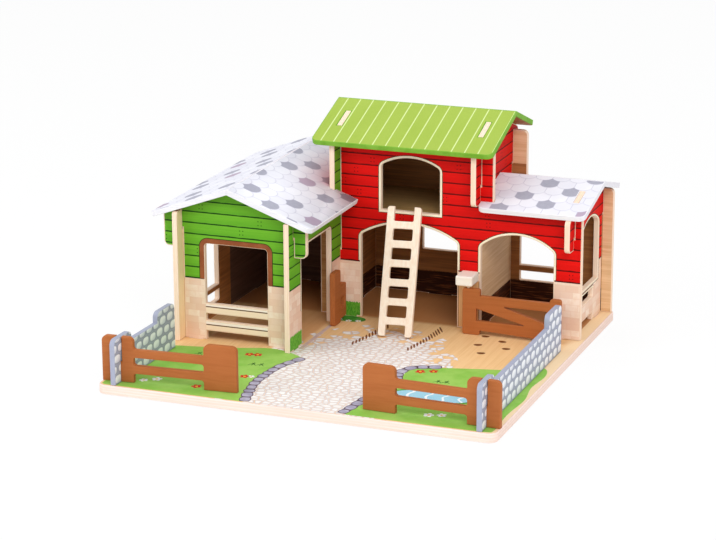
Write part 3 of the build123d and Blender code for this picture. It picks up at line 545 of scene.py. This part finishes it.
@printed("green_roof_print")
def green_roof_print(r):
    """Green roof with thin pale seams down its slope."""
    share = r.over(r.minus(r.x, 142.0), GREEN_ROOF_STRIPE)
    beside = r.times(r.size(r.minus(r.part(r.plus(share, 0.5)), 0.5)), GREEN_ROOF_STRIPE)
    grain = r.grain(Y)
    cloud = r.noise(r.spot, 0.02, 3.0)
    colour = r.mix(cloud, (170, 193, 84), (158, 184, 70))
    colour = r.wash(colour, grain["Streak"], 0.1, (130, 166, 52))
    pale = r.step(beside, 0.95, 0.45)
    colour = r.wash(colour, pale, 0.75, (228, 244, 176))
    return colour, grain["Streak"], 0.03


def slate_print(name, along_axis, up_axis, ridge_at, run, seed, width=TILE_WIDTH):
    """Pale slates, a few of them darker; up is measured down the slope from the ridge."""
    def build(r):
        away = r.size(r.minus(r.axes[up_axis], ridge_at))
        up = r.minus(400.0, r.times(away, run))
        scales = r.effect(roof_scales, Along=r.axes[along_axis], Up=up, Width=width, Seed=seed)
        cloud = r.noise(r.spot, 0.05, 3.0)
        colour = r.mix(cloud, (246, 246, 251), (230, 230, 240))
        colour = r.wash(colour, scales["Tone"], 0.3, (208, 208, 224))
        mottle = r.noise(r.spot, 0.3, 3.0)
        slate = r.mix(mottle, (178, 178, 192), (160, 160, 176))
        slate = r.mix(r.above(scales["Tone"], 0.84), slate, (184, 166, 186))
        colour = r.mix(scales["Dark"], colour, slate)
        colour = r.wash(colour, scales["Shadow"], 0.09, (176, 174, 192))
        colour = r.wash(colour, scales["Line"], 0.55, (190, 188, 206))
        return colour, cloud, 0.02
    return finish_material(name, build)


def brown_paint(name, way):
    """Brown paint, mottled and darker in streaks along the grain."""
    def build(r):
        grain = r.grain(way)
        cloud = r.noise(r.spot, 0.03, 3.0)
        colour = r.mix(cloud, (188, 112, 62), (174, 100, 52))
        colour = r.wash(colour, r.step(grain["Tone"], 0.4, 0.7), 0.35, (160, 86, 40))
        return colour, grain["Streak"], 0.03
    return finish_material(name, build, 0.55)


def stone_wall_paint(name):
    """Pale stones on a wall's two long faces, plain mortar on its top and ends."""
    def build(r):
        stones = r.effect(round_stones, Along=r.y, Up=r.minus(r.z, 10.9))
        mottle = r.noise(r.spot, 0.25, 4.0, 0.6)
        mortar = r.mix(mottle, (176, 180, 198), (154, 160, 180))
        face = r.mix(stones["Lit"], (214, 218, 228), (244, 246, 250))
        colour = r.mix(stones["Stone"], mortar, face)
        colour = r.wash(colour, stones["Rim"], 0.5, (122, 130, 150))
        normal = r.node("ShaderNodeNewGeometry").outputs["True Normal"]
        flat = r.above(r.size(r.split(normal)[0]), 0.9)
        return r.mix(flat, mortar, colour), mottle, 0.04
    return finish_material(name, build)


COBBLE_MIDDLE = (235.0, 118.0)
COBBLE_REACH = (96.0, 140.0)
COBBLE_SCALE = 0.108


@printed("yard_print")
def yard_print(r):
    """Floor print: packed earth with worn cobbles towards the front, darkened to brown inside the rooms as
    painted shade.
    """
    grain = r.grain(Y)
    cloud = r.noise(r.spot, 0.012, 4.0, 0.6)
    earth = r.mix(cloud, (250, 212, 160), (240, 196, 138))
    earth = r.wash(earth, r.step(grain["Tone"], 0.35, 0.7), 0.4, (224, 174, 112))
    # painted shade: the earth turns dark brown inside the barn and the lean-to (the inside mask) and lighter
    # brown inside the stable (the stall mask)
    inside = r.times(r.step(r.y, 320.0, 332.0), r.below(r.x, 434.0))
    earth = r.wash(earth, r.step(r.x, 425.0, 440.0), 0.7, (252, 228, 190))
    earth = r.wash(earth, inside, 0.85, (182, 112, 58))
    stall_wide = r.times(r.step(r.x, 156.0, 148.0), r.step(r.x, 44.0, 50.0))
    stall = r.times(stall_wide, r.step(r.y, 186.0, 204.0))
    earth = r.wash(earth, stall, 0.55, (206, 134, 78))
    flat = r.join(r.x, r.times(r.y, 1.25), 0.0)
    wander = r.noise(flat, 0.05, 2.0, 0.5, "Color")
    spot = r.vector("MULTIPLY_ADD", wander, (6.0, 6.0, 0.0), flat)
    edges, tints = (r.node("ShaderNodeTexVoronoi", {"Vector": spot, "Scale": COBBLE_SCALE, "Randomness": 0.8},
                           voronoi_dimensions="2D", feature=kind) for kind in ("DISTANCE_TO_EDGE", "F1"))
    edge = edges.outputs["Distance"]
    luck = r.split(tints.outputs["Color"])
    reach = r.distance(*(r.over(r.minus(way, middle), far)
                         for way, middle, far in zip((r.x, r.y), COBBLE_MIDDLE, COBBLE_REACH)))
    kept = r.above(luck[0], r.times(r.minus(reach, 0.92), 2.4))
    stone = r.times(r.step(edge, 0.05, 0.085), kept)
    face = r.mix(r.step(edge, 0.08, 0.24), (216, 210, 214), (250, 248, 246))
    face = r.wash(face, luck[1], 0.4, (224, 214, 204))
    outline = r.times(r.times(r.step(edge, 0.03, 0.06), r.step(edge, 0.11, 0.08)), kept)
    earth = r.wash(earth, r.step(reach, 1.05, 0.8), 0.85, (248, 226, 202))
    colour = r.wash(r.mix(stone, earth, face), outline, 0.7, (190, 184, 200))
    return colour, grain["Streak"], 0.03


def flat_print(name, first, second, scale):
    """A printed patch in two mingled tones."""
    def build(r):
        cloud = r.noise(r.spot, scale, 4.0, 0.6)
        fine = r.noise(r.spot, scale * 9, 2.0)
        colour = r.mix(r.step(cloud, 0.35, 0.65), first, second)
        colour = r.wash(colour, fine, 0.15, second)
        return colour, fine, 0.02
    return finish_material(name, build)


@printed("pond_print", 0.5)
def pond_print(r):
    """Pale water with a few white ripples."""
    wave = r.node("ShaderNodeTexWave", {"Vector": r.join(r.times(r.x, 0.25), r.y, 0.0), "Scale": 0.06,
                                        "Distortion": 7.0, "Detail": 1.5, "Detail Scale": 0.6})
    line = r.step(wave.outputs["Fac"], 0.93, 0.98)
    cloud = r.noise(r.spot, 0.04, 3.0)
    colour = r.mix(cloud, (146, 204, 226), (172, 216, 232))
    return r.mix(line, colour, (240, 250, 253)), cloud, 0.02


# ---------------------------------------------------------------- print sheets
def placed(name, data):
    """A new object in the scene."""
    made = bpy.data.objects.new(name, data)
    bpy.context.scene.collection.objects.link(made)
    return made


def piece_from(shape, name, material, body, slot):
    """Turns a worked shape into a named piece that rides with a body."""
    bmesh.ops.recalc_face_normals(shape, faces=shape.faces)
    mesh = bpy.data.meshes.new(name)
    shape.to_mesh(mesh)
    shape.free()
    mesh.materials.append(material)
    piece = placed(name, mesh)
    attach(piece, body)
    return piece


def home_of(node):
    """The body that a board belongs to, and its finish."""
    bodies = frame["record"]["behaviour"]["bodies"].items()
    body = next(body for body, members in bodies if node in members)
    slot = next(row["material_slot"] for row in frame["record"]["subparts"] if row["node"] == node)
    return body, slot


SAME_WAY = 0.9995        # least cosine between a face's normal and the way it looks
FLUSH = 0.0002           # faces less far apart than this, in metres, are one flat side


def flat_side(node, way):
    """A copy of the board's mesh, and its faces on the flat side that looks along way."""
    shape = bmesh.new()
    shape.from_mesh(nodes[node].data)
    bmesh.ops.remove_doubles(shape, verts=shape.verts, dist=1e-6)
    shape.normal_update()
    facing = [f for f in shape.faces if f.normal.dot(way) > SAME_WAY]
    furthest = max(f.calc_center_median().dot(way) for f in facing)
    return shape, {f for f in facing if furthest - f.calc_center_median().dot(way) < FLUSH}


def print_sheet(node, way, material, name, margin=PRINT_MARGIN):
    """Thin printed layer over the board's flat side that looks along way."""
    way = Vector(way).normalized()
    shape, keep = flat_side(node, way)
    bmesh.ops.delete(shape, geom=[f for f in shape.faces if f not in keep], context="FACES")
    bmesh.ops.dissolve_limit(shape, angle_limit=0.01, verts=shape.verts, edges=shape.edges)
    ring = bmesh.ops.inset_region(shape, faces=shape.faces[:], thickness=margin * MM,
                                  use_even_offset=True, use_boundary=True)["faces"]
    bmesh.ops.delete(shape, geom=ring, context="FACES")
    bmesh.ops.translate(shape, verts=shape.verts, vec=way * PRINT_LIFT * MM)
    raised = bmesh.ops.extrude_face_region(shape, geom=shape.faces[:], use_keep_orig=True)["geom"]
    top = [v for v in raised if isinstance(v, bmesh.types.BMVert)]
    bmesh.ops.translate(shape, verts=top, vec=way * PRINT_THICK * MM)
    bmesh.ops.triangulate(shape, faces=shape.faces)
    return piece_from(shape, name, material, *home_of(node))


def clipped(a, b, along, low, high):
    """Shares of the run from a to b between which it lies in a box on the board."""
    start, end = 0.0, 1.0
    for k, axis, shift in ((0, along, HALF_BASE), (1, Z, 0.0)):
        first, last = a[axis] / MM + shift, b[axis] / MM + shift
        if abs(last - first) < 1e-6:
            if not low[k] <= first <= high[k]:
                return 0.0, 0.0
            continue
        one, two = sorted(((low[k] - first) / (last - first), (high[k] - first) / (last - first)))
        start, end = max(start, one), min(end, two)
    return start, end


def rim(node, way, material, name, along, low, high, near, far, level=BAND_LEVEL):
    """Printed band beside those edges of the board's face that lie in a box."""
    way = Vector(way).normalized()
    shape, keep = flat_side(node, way)
    inward, joined, place_of = {}, [], {}
    for edge in shape.edges:
        own = [f for f in edge.link_faces if f in keep]
        if len(own) != 1:
            continue
        a, b = (vert.co.copy() for vert in edge.verts)
        start, end = clipped(a, b, along, low, high)
        if end - start < 1e-4:
            continue
        loop = next(loop for loop in own[0].loops if loop.edge == edge)
        side = way.cross(loop.link_loop_next.vert.co - loop.vert.co).normalized()
        ends = []
        for share in (start, end):
            spot = a + (b - a) * share
            key = tuple(round(value * 1e6) for value in spot)
            place_of.setdefault(key, spot)
            inward.setdefault(key, []).append(side)
            ends.append(key)
        joined.append(ends)
    made = bmesh.new()
    rows = {}
    for key, sides in inward.items():
        mean = sum(sides, Vector()).normalized()
        mean = mean / max(mean.dot(sides[0]), 0.5)
        spots = [place_of[key] + mean * near * MM, place_of[key] + mean * far * MM]
        lows = [made.verts.new(spot + way * (level - BAND_THICK) * MM) for spot in spots]
        highs = [made.verts.new(spot + way * level * MM) for spot in spots]
        rows[key] = lows + highs
    for a, b in joined:
        p, q = rows[a], rows[b]
        for i, k in ((0, 1), (1, 3), (3, 2), (2, 0)):
            made.faces.new((p[i], p[k], q[k], q[i]))
    for key, sides in inward.items():
        if len(sides) == 1:
            p = rows[key]
            made.faces.new((p[0], p[1], p[3], p[2]))
    shape.free()
    return piece_from(made, name, material, *home_of(node))


def dress(node, material):
    """Give a CAD board its own material."""
    mesh = nodes[node].data
    mesh.materials.clear()
    mesh.materials.append(material)


# wall boards: the axis through their thickness, and where their first ply begins
WALL_BOARDS = (
    ("stable_front_panel", Y, 182.6), ("barn_front_panel", Y, 323.0), ("back_panel", Y, 439.0),
    ("stable_side_panel", X, 14.5), ("middle_wall", X, 149.0), ("barn_side_panel", X, 319.0),
    ("lean_to_side_panel", X, 429.0),
)
for node, axis, low in WALL_BOARDS:
    dress(node, bare_wood(node + "_wood", Z, plies=(axis, low, 1.2)))

OUTER_PRINTS = (
    ("stable_front_panel", FRONT, gable_print, "gable_front_print"),
    ("stable_side_panel", LEFT, stable_side_print, "stable_side_outer_print"),
    ("middle_wall", RIGHT, middle_outer_print, "middle_wall_right_print"),
    ("middle_wall", LEFT, middle_stable_print, "middle_wall_left_print", INNER_MARGIN),
    ("barn_front_panel", FRONT, barn_front_print, "barn_front_boards_print"),
    ("barn_side_panel", RIGHT, barn_side_outer_print, "barn_side_outer_print"),
    ("lean_to_side_panel", RIGHT, lean_to_outer_print, "lean_to_side_outer_print"),
    ("back_panel", REAR, back_outer_print, "back_outer_print"),
)
# inner faces: the wood darkened as painted shade of the rooms, with the dark skirting that is part print and
# part painted shade
inner_across = inner_face("inner_face_across", X)
inner_along = inner_face("inner_face_along", Y)
barn_dim = inner_face("barn_dim_face", Y, DIM)
INNER_PRINTS = (
    ("stable_front_panel", REAR, inner_across, "gable_inner_print"),
    ("barn_front_panel", REAR, inner_across, "barn_front_inner_print"),
    ("back_panel", FRONT, back_inner_face, "back_inner_print"),
    ("stable_side_panel", RIGHT, stable_inner_face, "stable_side_inner_print"),
    ("barn_side_panel", LEFT, barn_dim, "barn_side_inner_print"),
    ("lean_to_side_panel", LEFT, inner_along, "lean_to_side_inner_print"),
)
for row in OUTER_PRINTS:
    print_sheet(*row)
for row in INNER_PRINTS:
    print_sheet(*row, INNER_MARGIN)

# ---------------------------------------------------------------- bands round the openings
rim_cream = flat_print("rim_cream_print", (255, 246, 222), (250, 236, 206), 0.05)
rim_brown = flat_print("rim_brown_print", (126, 62, 30), (104, 48, 22), 0.05)
door_brown = flat_print("door_brown_print", (160, 92, 56), (140, 76, 44), 0.05)
door_dark = flat_print("door_outline_print", (30, 60, 14), (22, 48, 10), 0.05)
# board, side, name, axis it runs along, corners of the box round the opening, width
BANDS = (
    ("barn_front_panel", FRONT, "loft_window", X, (204, 140), (278, 207), 2.1),
    ("barn_front_panel", FRONT, "big_arch", X, (179, 79), (299, 129), 2.0),
    ("barn_front_panel", FRONT, "small_arch", X, (324, 79), (413, 129), 2.0),
    ("middle_wall", RIGHT, "doorway", Y, (202, 50), (294, 125), 1.6),
    ("lean_to_side_panel", RIGHT, "east_window", Y, (354, 50), (426, 139), 1.6),
)
for node, way, label, along, low, high, wide in BANDS:
    rim(node, way, rim_cream, label + "_rim", along, low, high, 0.0, wide)
    rim(node, way, rim_brown, label + "_outline", along, low, high, wide, wide + 0.9, OUTLINE_LEVEL)
SINGLE_BANDS = (
    ("stable_front_panel", FRONT, door_brown, "hay_door_band", X, (46, 82), (124, 125), 0.0, 5.4),
    ("stable_front_panel", FRONT, door_dark, "hay_door_outline", X, (46, 82), (124, 125), 5.4, 6.2,
     OUTLINE_LEVEL),
    ("stable_side_panel", LEFT, door_brown, "side_window_band", Y, (236, 60), (279, 114), 0.0, 3.0),
    ("back_panel", REAR, rim_cream, "back_window_rim", X, (213, 64), (267, 114), 0.0, 2.0),
    ("back_panel", REAR, rim_cream, "back_hatch_rim", X, (334, 37), (414, 124), 0.0, 2.0),
)
for row in SINGLE_BANDS:
    rim(*row)

# ---------------------------------------------------------------- roofs
LEAN_RIDGE_Y, STABLE_RIDGE_X = 391.1, 81.4
green_edge = flat_print("green_roof_edges", (134, 186, 66), (116, 170, 50), 0.05)
pale_edge = bare_wood("tile_roof_edges", X, ((242, 240, 244), (226, 224, 234)))
lean_top = slate_print("lean_to_slates", X, Y, LEAN_RIDGE_Y, 1.03, 3.0, 20.0)
stable_top = slate_print("stable_slates", Y, X, STABLE_RIDGE_X, 1.064, 5.0)
# the undersides are the bare wood darkened as painted shade, without skirting
under_x = inner_face("roof_underside_along", X, shaded_skirting=False)
under_y = inner_face("roof_underside_across", Y, shaded_skirting=False)
# board, the way it falls, its slope, and the looks of its edge, top and underside
ROOF_BOARDS = (
    ("barn_roof_front", FRONT, 0.3535, green_edge, green_roof_print, under_x),
    ("barn_roof_rear", REAR, 0.38, green_edge, green_roof_print, under_x),
    ("lean_to_roof_front", FRONT, 0.2494, pale_edge, lean_top, under_x),
    ("lean_to_roof_rear", REAR, 0.264, pale_edge, lean_top, under_x),
    ("stable_roof_left", LEFT, 0.363, pale_edge, stable_top, under_y),
    ("stable_roof_right", RIGHT, 0.363, pale_edge, stable_top, under_y),
)
for node, way, slope, edge, top, under in ROOF_BOARDS:
    dress(node, edge)
    normal = Vector((way[0] * slope, way[1] * slope, 1.0))
    print_sheet(node, normal, top, node + "_print", 0.4)
    print_sheet(node, -normal, under, node + "_underside_print", 0.6)

# ---------------------------------------------------------------- painted and bare pieces
# The loft floor is the bare wood darkened, painted shade of the loft.
dress("loft_floor", bare_wood("loft_wood", X, ((176, 142, 92), (150, 116, 70))))
BARE_PIECES = (
    ("barn_roof_batten", X), ("lean_to_roof_batten", X), ("stable_roof_batten", Y), ("gate_pins", Z),
    ("stable_gate_pin", Z), ("ladder", Z, ((255, 238, 218), (248, 218, 190))),
)
for node, *look in BARE_PIECES:
    dress(node, bare_wood(node + "_wood", *look))
dress("gate_hinge_block", bare_wood("block_wood", X, ((252, 244, 234), (244, 230, 212))))
for node, way in (("gate", X), ("stable_gate", Y), ("left_fence", X), ("right_fence", X)):
    dress(node, brown_paint(node + "_paint", way))
for node in ("left_stone_wall", "right_stone_wall"):
    dress(node, stone_wall_paint(node + "_paint"))
dress("base_board", bare_wood("base_wood", X, ((252, 230, 220), (244, 214, 202)), (Z, 0.0, 1.5)))

# ---------------------------------------------------------------- floor print
print_sheet("base_board", (0, 0, 1), yard_print, "yard_print", 0.5)


def smooth_ring(points, steps=8, closed=True):
    """Catmull-Rom curve through the points."""
    count = len(points)
    made = []
    for i in range(count if closed else count - 1):
        a, b, c, d = (Vector(points[(i + k) % count] if closed else points[min(max(i + k, 0), count - 1)])
                      for k in (-1, 0, 1, 2))
        for step in range(steps):
            t = step / steps
            made.append(0.5 * ((2 * b) + (c - a) * t + (2 * a - 5 * b + 4 * c - d) * t * t
                               + (3 * b - a - 3 * c + d) * t ** 3))
    if not closed:
        made.append(Vector(points[-1]))
    return made


def patches(name, outlines, material, level, thick=0.03):
    """Thin printed patches on the base, each from its outline; level is the height of their top."""
    shape = bmesh.new()
    for outline in outlines:
        low = [shape.verts.new(at(p[0], p[1], BASE_TOP + level - thick)) for p in outline]
        high = [shape.verts.new(at(p[0], p[1], BASE_TOP + level)) for p in outline]
        shape.faces.new(high)
        shape.faces.new(low[::-1])
        count = len(outline)
        for i in range(count):
            k = (i + 1) % count
            shape.faces.new((low[i], low[k], high[k], high[i]))
    bmesh.ops.triangulate(shape, faces=shape.faces)
    return piece_from(shape, name, material, "farmstead", "base_print")


grass = flat_print("grass_print", (160, 206, 98), (138, 194, 78), 0.03)
left_grass = [(4, 6), (60, 3.5), (120, 3.5), (169, 3.5), (160, 40), (158, 76), (162, 110), (172, 138),
              (176, 152), (164, 166), (130, 178), (90, 166), (50, 156), (20, 150), (8, 144), (5, 90)]
right_grass = [(286, 3.5), (350, 3.5), (410, 3.5), (438, 4), (445, 12), (443, 60), (446, 110), (441, 150),
               (444, 190), (438, 214), (424, 218), (404, 200), (368, 190), (330, 180), (306, 172),
               (298, 152), (302, 120), (298, 60)]
GRASS_INSET = 3.5       # least distance of the grass from the base's front and left edges


def kept_inside(outline):
    """The outline with its corners held back from the base's edges."""
    return [Vector((max(p.x, GRASS_INSET), max(p.y, GRASS_INSET))) for p in outline]


patches("grass_patches", [kept_inside(smooth_ring(ring)) for ring in (left_grass, right_grass)], grass, 0.08)


def ribbon(points, width):
    """Outline of a band of the given width along a curve."""
    line = smooth_ring(points, 6, False)
    left, right = [], []
    for i, p in enumerate(line):
        before = line[max(i - 1, 0)]
        after = line[min(i + 1, len(line) - 1)]
        way = (after - before).normalized()
        side = Vector((-way.y, way.x)) * width / 2
        left.append(p + side)
        right.append(p - side)
    return left + right[::-1]


PEBBLE_SIDES, HOOF_SIDES = 20, 18
KERB_LENGTHS = (10.0, 15.5)
KERB_JOINT = 2.2


def turned_ring(middle, turn, sides, shape):
    """Outline that shape(cosine, sine) draws round a middle, turned about it."""
    made = []
    for i in range(sides):
        a = 2 * math.pi * i / sides
        x, y = shape(math.cos(a), math.sin(a))
        made.append(Vector((middle[0] + x * math.cos(turn) - y * math.sin(turn),
                            middle[1] + x * math.sin(turn) + y * math.cos(turn))))
    return made


def pebble(middle, long_side, wide_side, turn, corner=0.72):
    """Rounded stone outline."""
    return turned_ring(middle, turn, PEBBLE_SIDES, lambda c, s: (
        math.copysign(abs(c) ** corner, c) * long_side / 2,
        math.copysign(abs(s) ** corner, s) * wide_side / 2))


def kerb(name, points, seed, width=11.5):
    """Row of flat kerb stones along a curve, each with a dark outline under it."""
    chooser = random.Random(seed)
    line = smooth_ring(points, 24, False)
    reach = [0.0]
    for a, b in zip(line, line[1:]):
        reach.append(reach[-1] + (b - a).length)
    stones, outlines = [], []
    travelled = 0.0
    while travelled < reach[-1] - 6:
        long_side = chooser.uniform(*KERB_LENGTHS)
        middle = min(travelled + long_side / 2, reach[-1] - 0.01)
        i = max(k for k, value in enumerate(reach) if value <= middle)
        i = min(i, len(line) - 2)
        way = line[i + 1] - line[i]
        spot = line[i] + way * ((middle - reach[i]) / (reach[i + 1] - reach[i]))
        turn = math.atan2(way.y, way.x) + chooser.uniform(-0.05, 0.05)
        wide = width * chooser.uniform(0.88, 1.08)
        stones.append(pebble(spot, long_side - KERB_JOINT, wide - 1.2, turn))
        outlines.append(pebble(spot, long_side + 0.6, wide + 1.0, turn))
        travelled += long_side
    patches(name + "_outline", [ribbon(points, width * 0.9)], kerb_dark, 0.10)
    patches(name + "_rims", outlines, kerb_dark, 0.115, 0.02)
    patches(name + "_stones", stones, kerb_stone, 0.15)


kerb_dark = flat_print("kerb_joint_print", (112, 92, 104), (96, 78, 92), 0.1)
kerb_stone = flat_print("kerb_stone_print", (190, 186, 204), (160, 156, 178), 0.12)
kerb("left_kerb", [(171, 5), (164, 32), (158, 64), (158, 96), (162, 126), (172, 152)], 5)
kerb("right_kerb", [(280, 6), (284, 30), (288, 62), (296, 98), (297, 128), (292, 150), (300, 170),
                    (322, 180)], 9)
foot_grass = flat_print("foot_grass_print", (84, 158, 60), (60, 134, 46), 0.08)
foot_ring = [(152, 318), (154, 306), (166, 301), (182, 302), (190, 309), (186, 318), (170, 322)]
patches("foot_grass", [smooth_ring(foot_ring)], foot_grass, 0.1)

# ---- pond, hoof prints, cart ruts and flowers
pond_grass = flat_print("pond_rim_print", (96, 160, 60), (70, 140, 60), 0.1)
pond_ring = [(309, 88), (318, 78), (338, 74), (362, 73), (384, 78), (394, 87), (388, 97), (366, 102),
             (340, 103), (320, 98)]
bank_ring = [(305, 88), (315, 75.5), (338, 71), (363, 70), (387, 75.5), (398, 87), (391, 99.5),
             (367, 105.5), (339, 106.5), (317, 101)]
patches("pond", [smooth_ring(pond_ring)], pond_print, 0.15)
patches("pond_rim", [smooth_ring(bank_ring)], pond_grass, 0.12)


def hoof(middle, turn, size=9.8):
    """Flat bean-shaped print."""
    return turned_ring(middle, turn, HOOF_SIDES,
                       lambda c, s: (c * size / 2, s * size * 0.34 + 0.9 * c ** 2))


brown_mark = flat_print("hoof_mark_print", (134, 76, 34), (108, 58, 24), 0.12)
HOOFS = (((341, 270), 0.3), ((363, 290), -0.2), ((375, 267), 0.1), ((353.5, 243), 0.2), ((339, 302), -0.1))
patches("hoof_marks", [hoof(*row) for row in HOOFS], brown_mark, 0.09)


def rut(points, width, gap, mark):
    """Short dark marks laid along a curve, longer towards its far end."""
    line = smooth_ring(points, 30, False)
    made, travelled = [], 0.0
    for i in range(1, len(line)):
        way = line[i] - line[i - 1]
        travelled += way.length
        if travelled >= gap:
            travelled = 0.0
            made.append(pebble(line[i], width * (0.55 + 0.45 * i / len(line)), mark,
                               math.atan2(way.y, way.x) + 0.56, 0.9))
    return made


RUTS = (((205, 222), (212, 249), (218, 280), (222, 300)), ((271, 222), (279, 262), (282, 286), (284, 314)))
patches("cart_ruts", [mark for line in RUTS for mark in rut(line, 21.0, 6.2, 2.1)], brown_mark, 0.09)
threshold = flat_print("threshold_print", (222, 194, 186), (206, 176, 168), 0.1)
patches("threshold", [((157, 188), (161.5, 188), (161.5, 284), (157, 284))], threshold, 0.09)


PETALS, PETAL_TURN = 5, 1.2566


def flower(x, y, size, turn):
    """Outlines of the petals round a middle."""
    turns = [turn + i * PETAL_TURN for i in range(PETALS)]
    return [pebble((x + math.cos(a) * size * 0.55, y + math.sin(a) * size * 0.55),
                   size * 0.72, size * 0.62, a, 1.0) for a in turns]


red_petal = flat_print("red_flower_print", (222, 36, 40), (190, 22, 30), 0.2)
white_petal = flat_print("white_flower_print", (248, 248, 244), (232, 234, 236), 0.2)
yellow_eye = flat_print("flower_eye_print", (248, 206, 50), (236, 180, 40), 0.2)
leaf_green = flat_print("grass_blade_print", (64, 122, 52), (46, 98, 40), 0.15)
RED_FLOWERS = ((312, 160, 6.5), (325, 166, 6.0), (114, 150, 6.0), (123, 152, 6.0), (139, 79, 6.0),
               (104, 31, 6.5))
WHITE_FLOWERS = ((160, 306, 4.2), (172, 303.5, 4.2), (183, 306, 4.2), (367, 32, 6.5), (380, 36, 6.0),
                 (146, 81, 4.5), (54, 38, 6.5), (42, 30, 5.5), (420, 186, 6.0))
patches("red_flowers", [p for k, row in enumerate(RED_FLOWERS) for p in flower(*row, k * 0.7)], red_petal, 0.13)
patches("white_flowers", [p for k, row in enumerate(WHITE_FLOWERS) for p in flower(*row, k * 0.5)],
        white_petal, 0.13)
patches("flower_eyes", [pebble((x, y), size * 0.5, size * 0.5, 0, 1.0)
                        for x, y, size in RED_FLOWERS + WHITE_FLOWERS], yellow_eye, 0.16)
chooser = random.Random(21)
blades = []
BLADES = ((341, 134), (350, 135), (131, 119), (140, 120), (60, 133), (84, 60), (410, 60), (420, 130),
          (396, 160), (30, 60), (416, 96))
for x, y in BLADES:
    for k in range(3):
        lean = math.radians(48 + 42 * k) + chooser.uniform(-0.15, 0.15)
        blades.append(pebble((x + k * 2.6 - 2.6 + math.cos(lean) * 2, y + math.sin(lean) * 2),
                             11.0, 1.2, lean, 1.0))
patches("grass_blades", blades, leaf_green, 0.12)

# ---------------------------------------------------------------- floor, lamps and camera
FLOOR_WHITE = 0.9        # the rest of the floor's look is the toy's soft shadow
ROOM_LIGHT = 0.62
LAMP_AIM = (0, 0, 0.08)

floor_shape = bmesh.new()
bmesh.ops.create_grid(floor_shape, x_segments=8, y_segments=8, size=4.0)
floor_mesh = bpy.data.meshes.new("floor")
floor_shape.to_mesh(floor_mesh)
floor_shape.free()
floor = placed("floor", floor_mesh)


def seen_plainly(r):
    """One for rays that see the surroundings, straight or in a gloss, nought for light on the toy."""
    path = r.node("ShaderNodeLightPath").outputs
    mirrored = r.most(path["Is Glossy Ray"], path["Is Transmission Ray"])
    return r.most(path["Is Camera Ray"], mirrored)


floor_paint = bpy.data.materials.new("floor_paint")
r = empty_recipe(floor_paint)
lit = r.node("ShaderNodeBsdfPrincipled", {"Base Color": paint((252, 252, 252)), "Roughness": 0.9})
lit.inputs["Specular IOR Level"].default_value = 0.1
white = r.node("ShaderNodeEmission", {"Color": (1, 1, 1, 1), "Strength": 1.0})
blend = r.node("ShaderNodeMixShader", {0: FLOOR_WHITE, 1: lit.outputs[0], 2: white.outputs[0]})
seen = r.node("ShaderNodeMixShader", {0: seen_plainly(r), 1: lit.outputs[0], 2: blend.outputs[0]})
r.node("ShaderNodeOutputMaterial", {"Surface": seen.outputs[0]})
floor_mesh.materials.append(floor_paint)

world = bpy.data.worlds.new("studio")
bpy.context.scene.world = world
r = empty_recipe(world)
soft = r.node("ShaderNodeBackground", {"Color": (0.98, 0.99, 1.0, 1), "Strength": ROOM_LIGHT})
plain = r.node("ShaderNodeBackground", {"Color": (1, 1, 1, 1), "Strength": 1.0})
seen = r.node("ShaderNodeMixShader", {0: seen_plainly(r), 1: soft.outputs[0], 2: plain.outputs[0]})
r.node("ShaderNodeOutputWorld", {"Surface": seen.outputs[0]})


def lamp(name, where, size, watts):
    """Soft white panel that shines at the toy."""
    data = bpy.data.lights.new(name, "AREA")
    data.shape = "RECTANGLE"
    data.size, data.size_y = size
    data.energy = watts
    made = placed(name, data)
    made.location = where
    made.rotation_euler = (Vector(LAMP_AIM) - Vector(where)).to_track_quat("-Z", "Y").to_euler()


lamp("key", (1.5, -2.2, 2.2), (1.6, 1.2), 42)
lamp("fill", (-2.0, -1.6, 1.6), (1.8, 1.4), 22)
lamp("top", (0.0, 0.4, 2.6), (2.0, 2.0), 16)

CAMERA_AT = (0.95805, -2.49317, 0.88799)
CAMERA_WAY = (-0.34725, 0.89395, -0.28334)
CAMERA_ROLL = math.radians(-0.28)
view = bpy.data.cameras.new("camera")
view.sensor_width = 36.0
view.lens = 125.94
view.clip_start = 0.05
camera = placed("camera", view)
ahead = Vector(CAMERA_WAY).normalized()
across = ahead.cross(Vector((0, 0, 1))).normalized()
upward = across.cross(ahead)
right = across * math.cos(CAMERA_ROLL) + upward * math.sin(CAMERA_ROLL)
above = upward * math.cos(CAMERA_ROLL) - across * math.sin(CAMERA_ROLL)
turn = Matrix((right, above, -ahead)).transposed()
camera.matrix_world = Matrix.Translation(CAMERA_AT) @ turn.to_4x4()
bpy.context.scene.camera = camera
bpy.context.scene.view_settings.view_transform = "Standard"
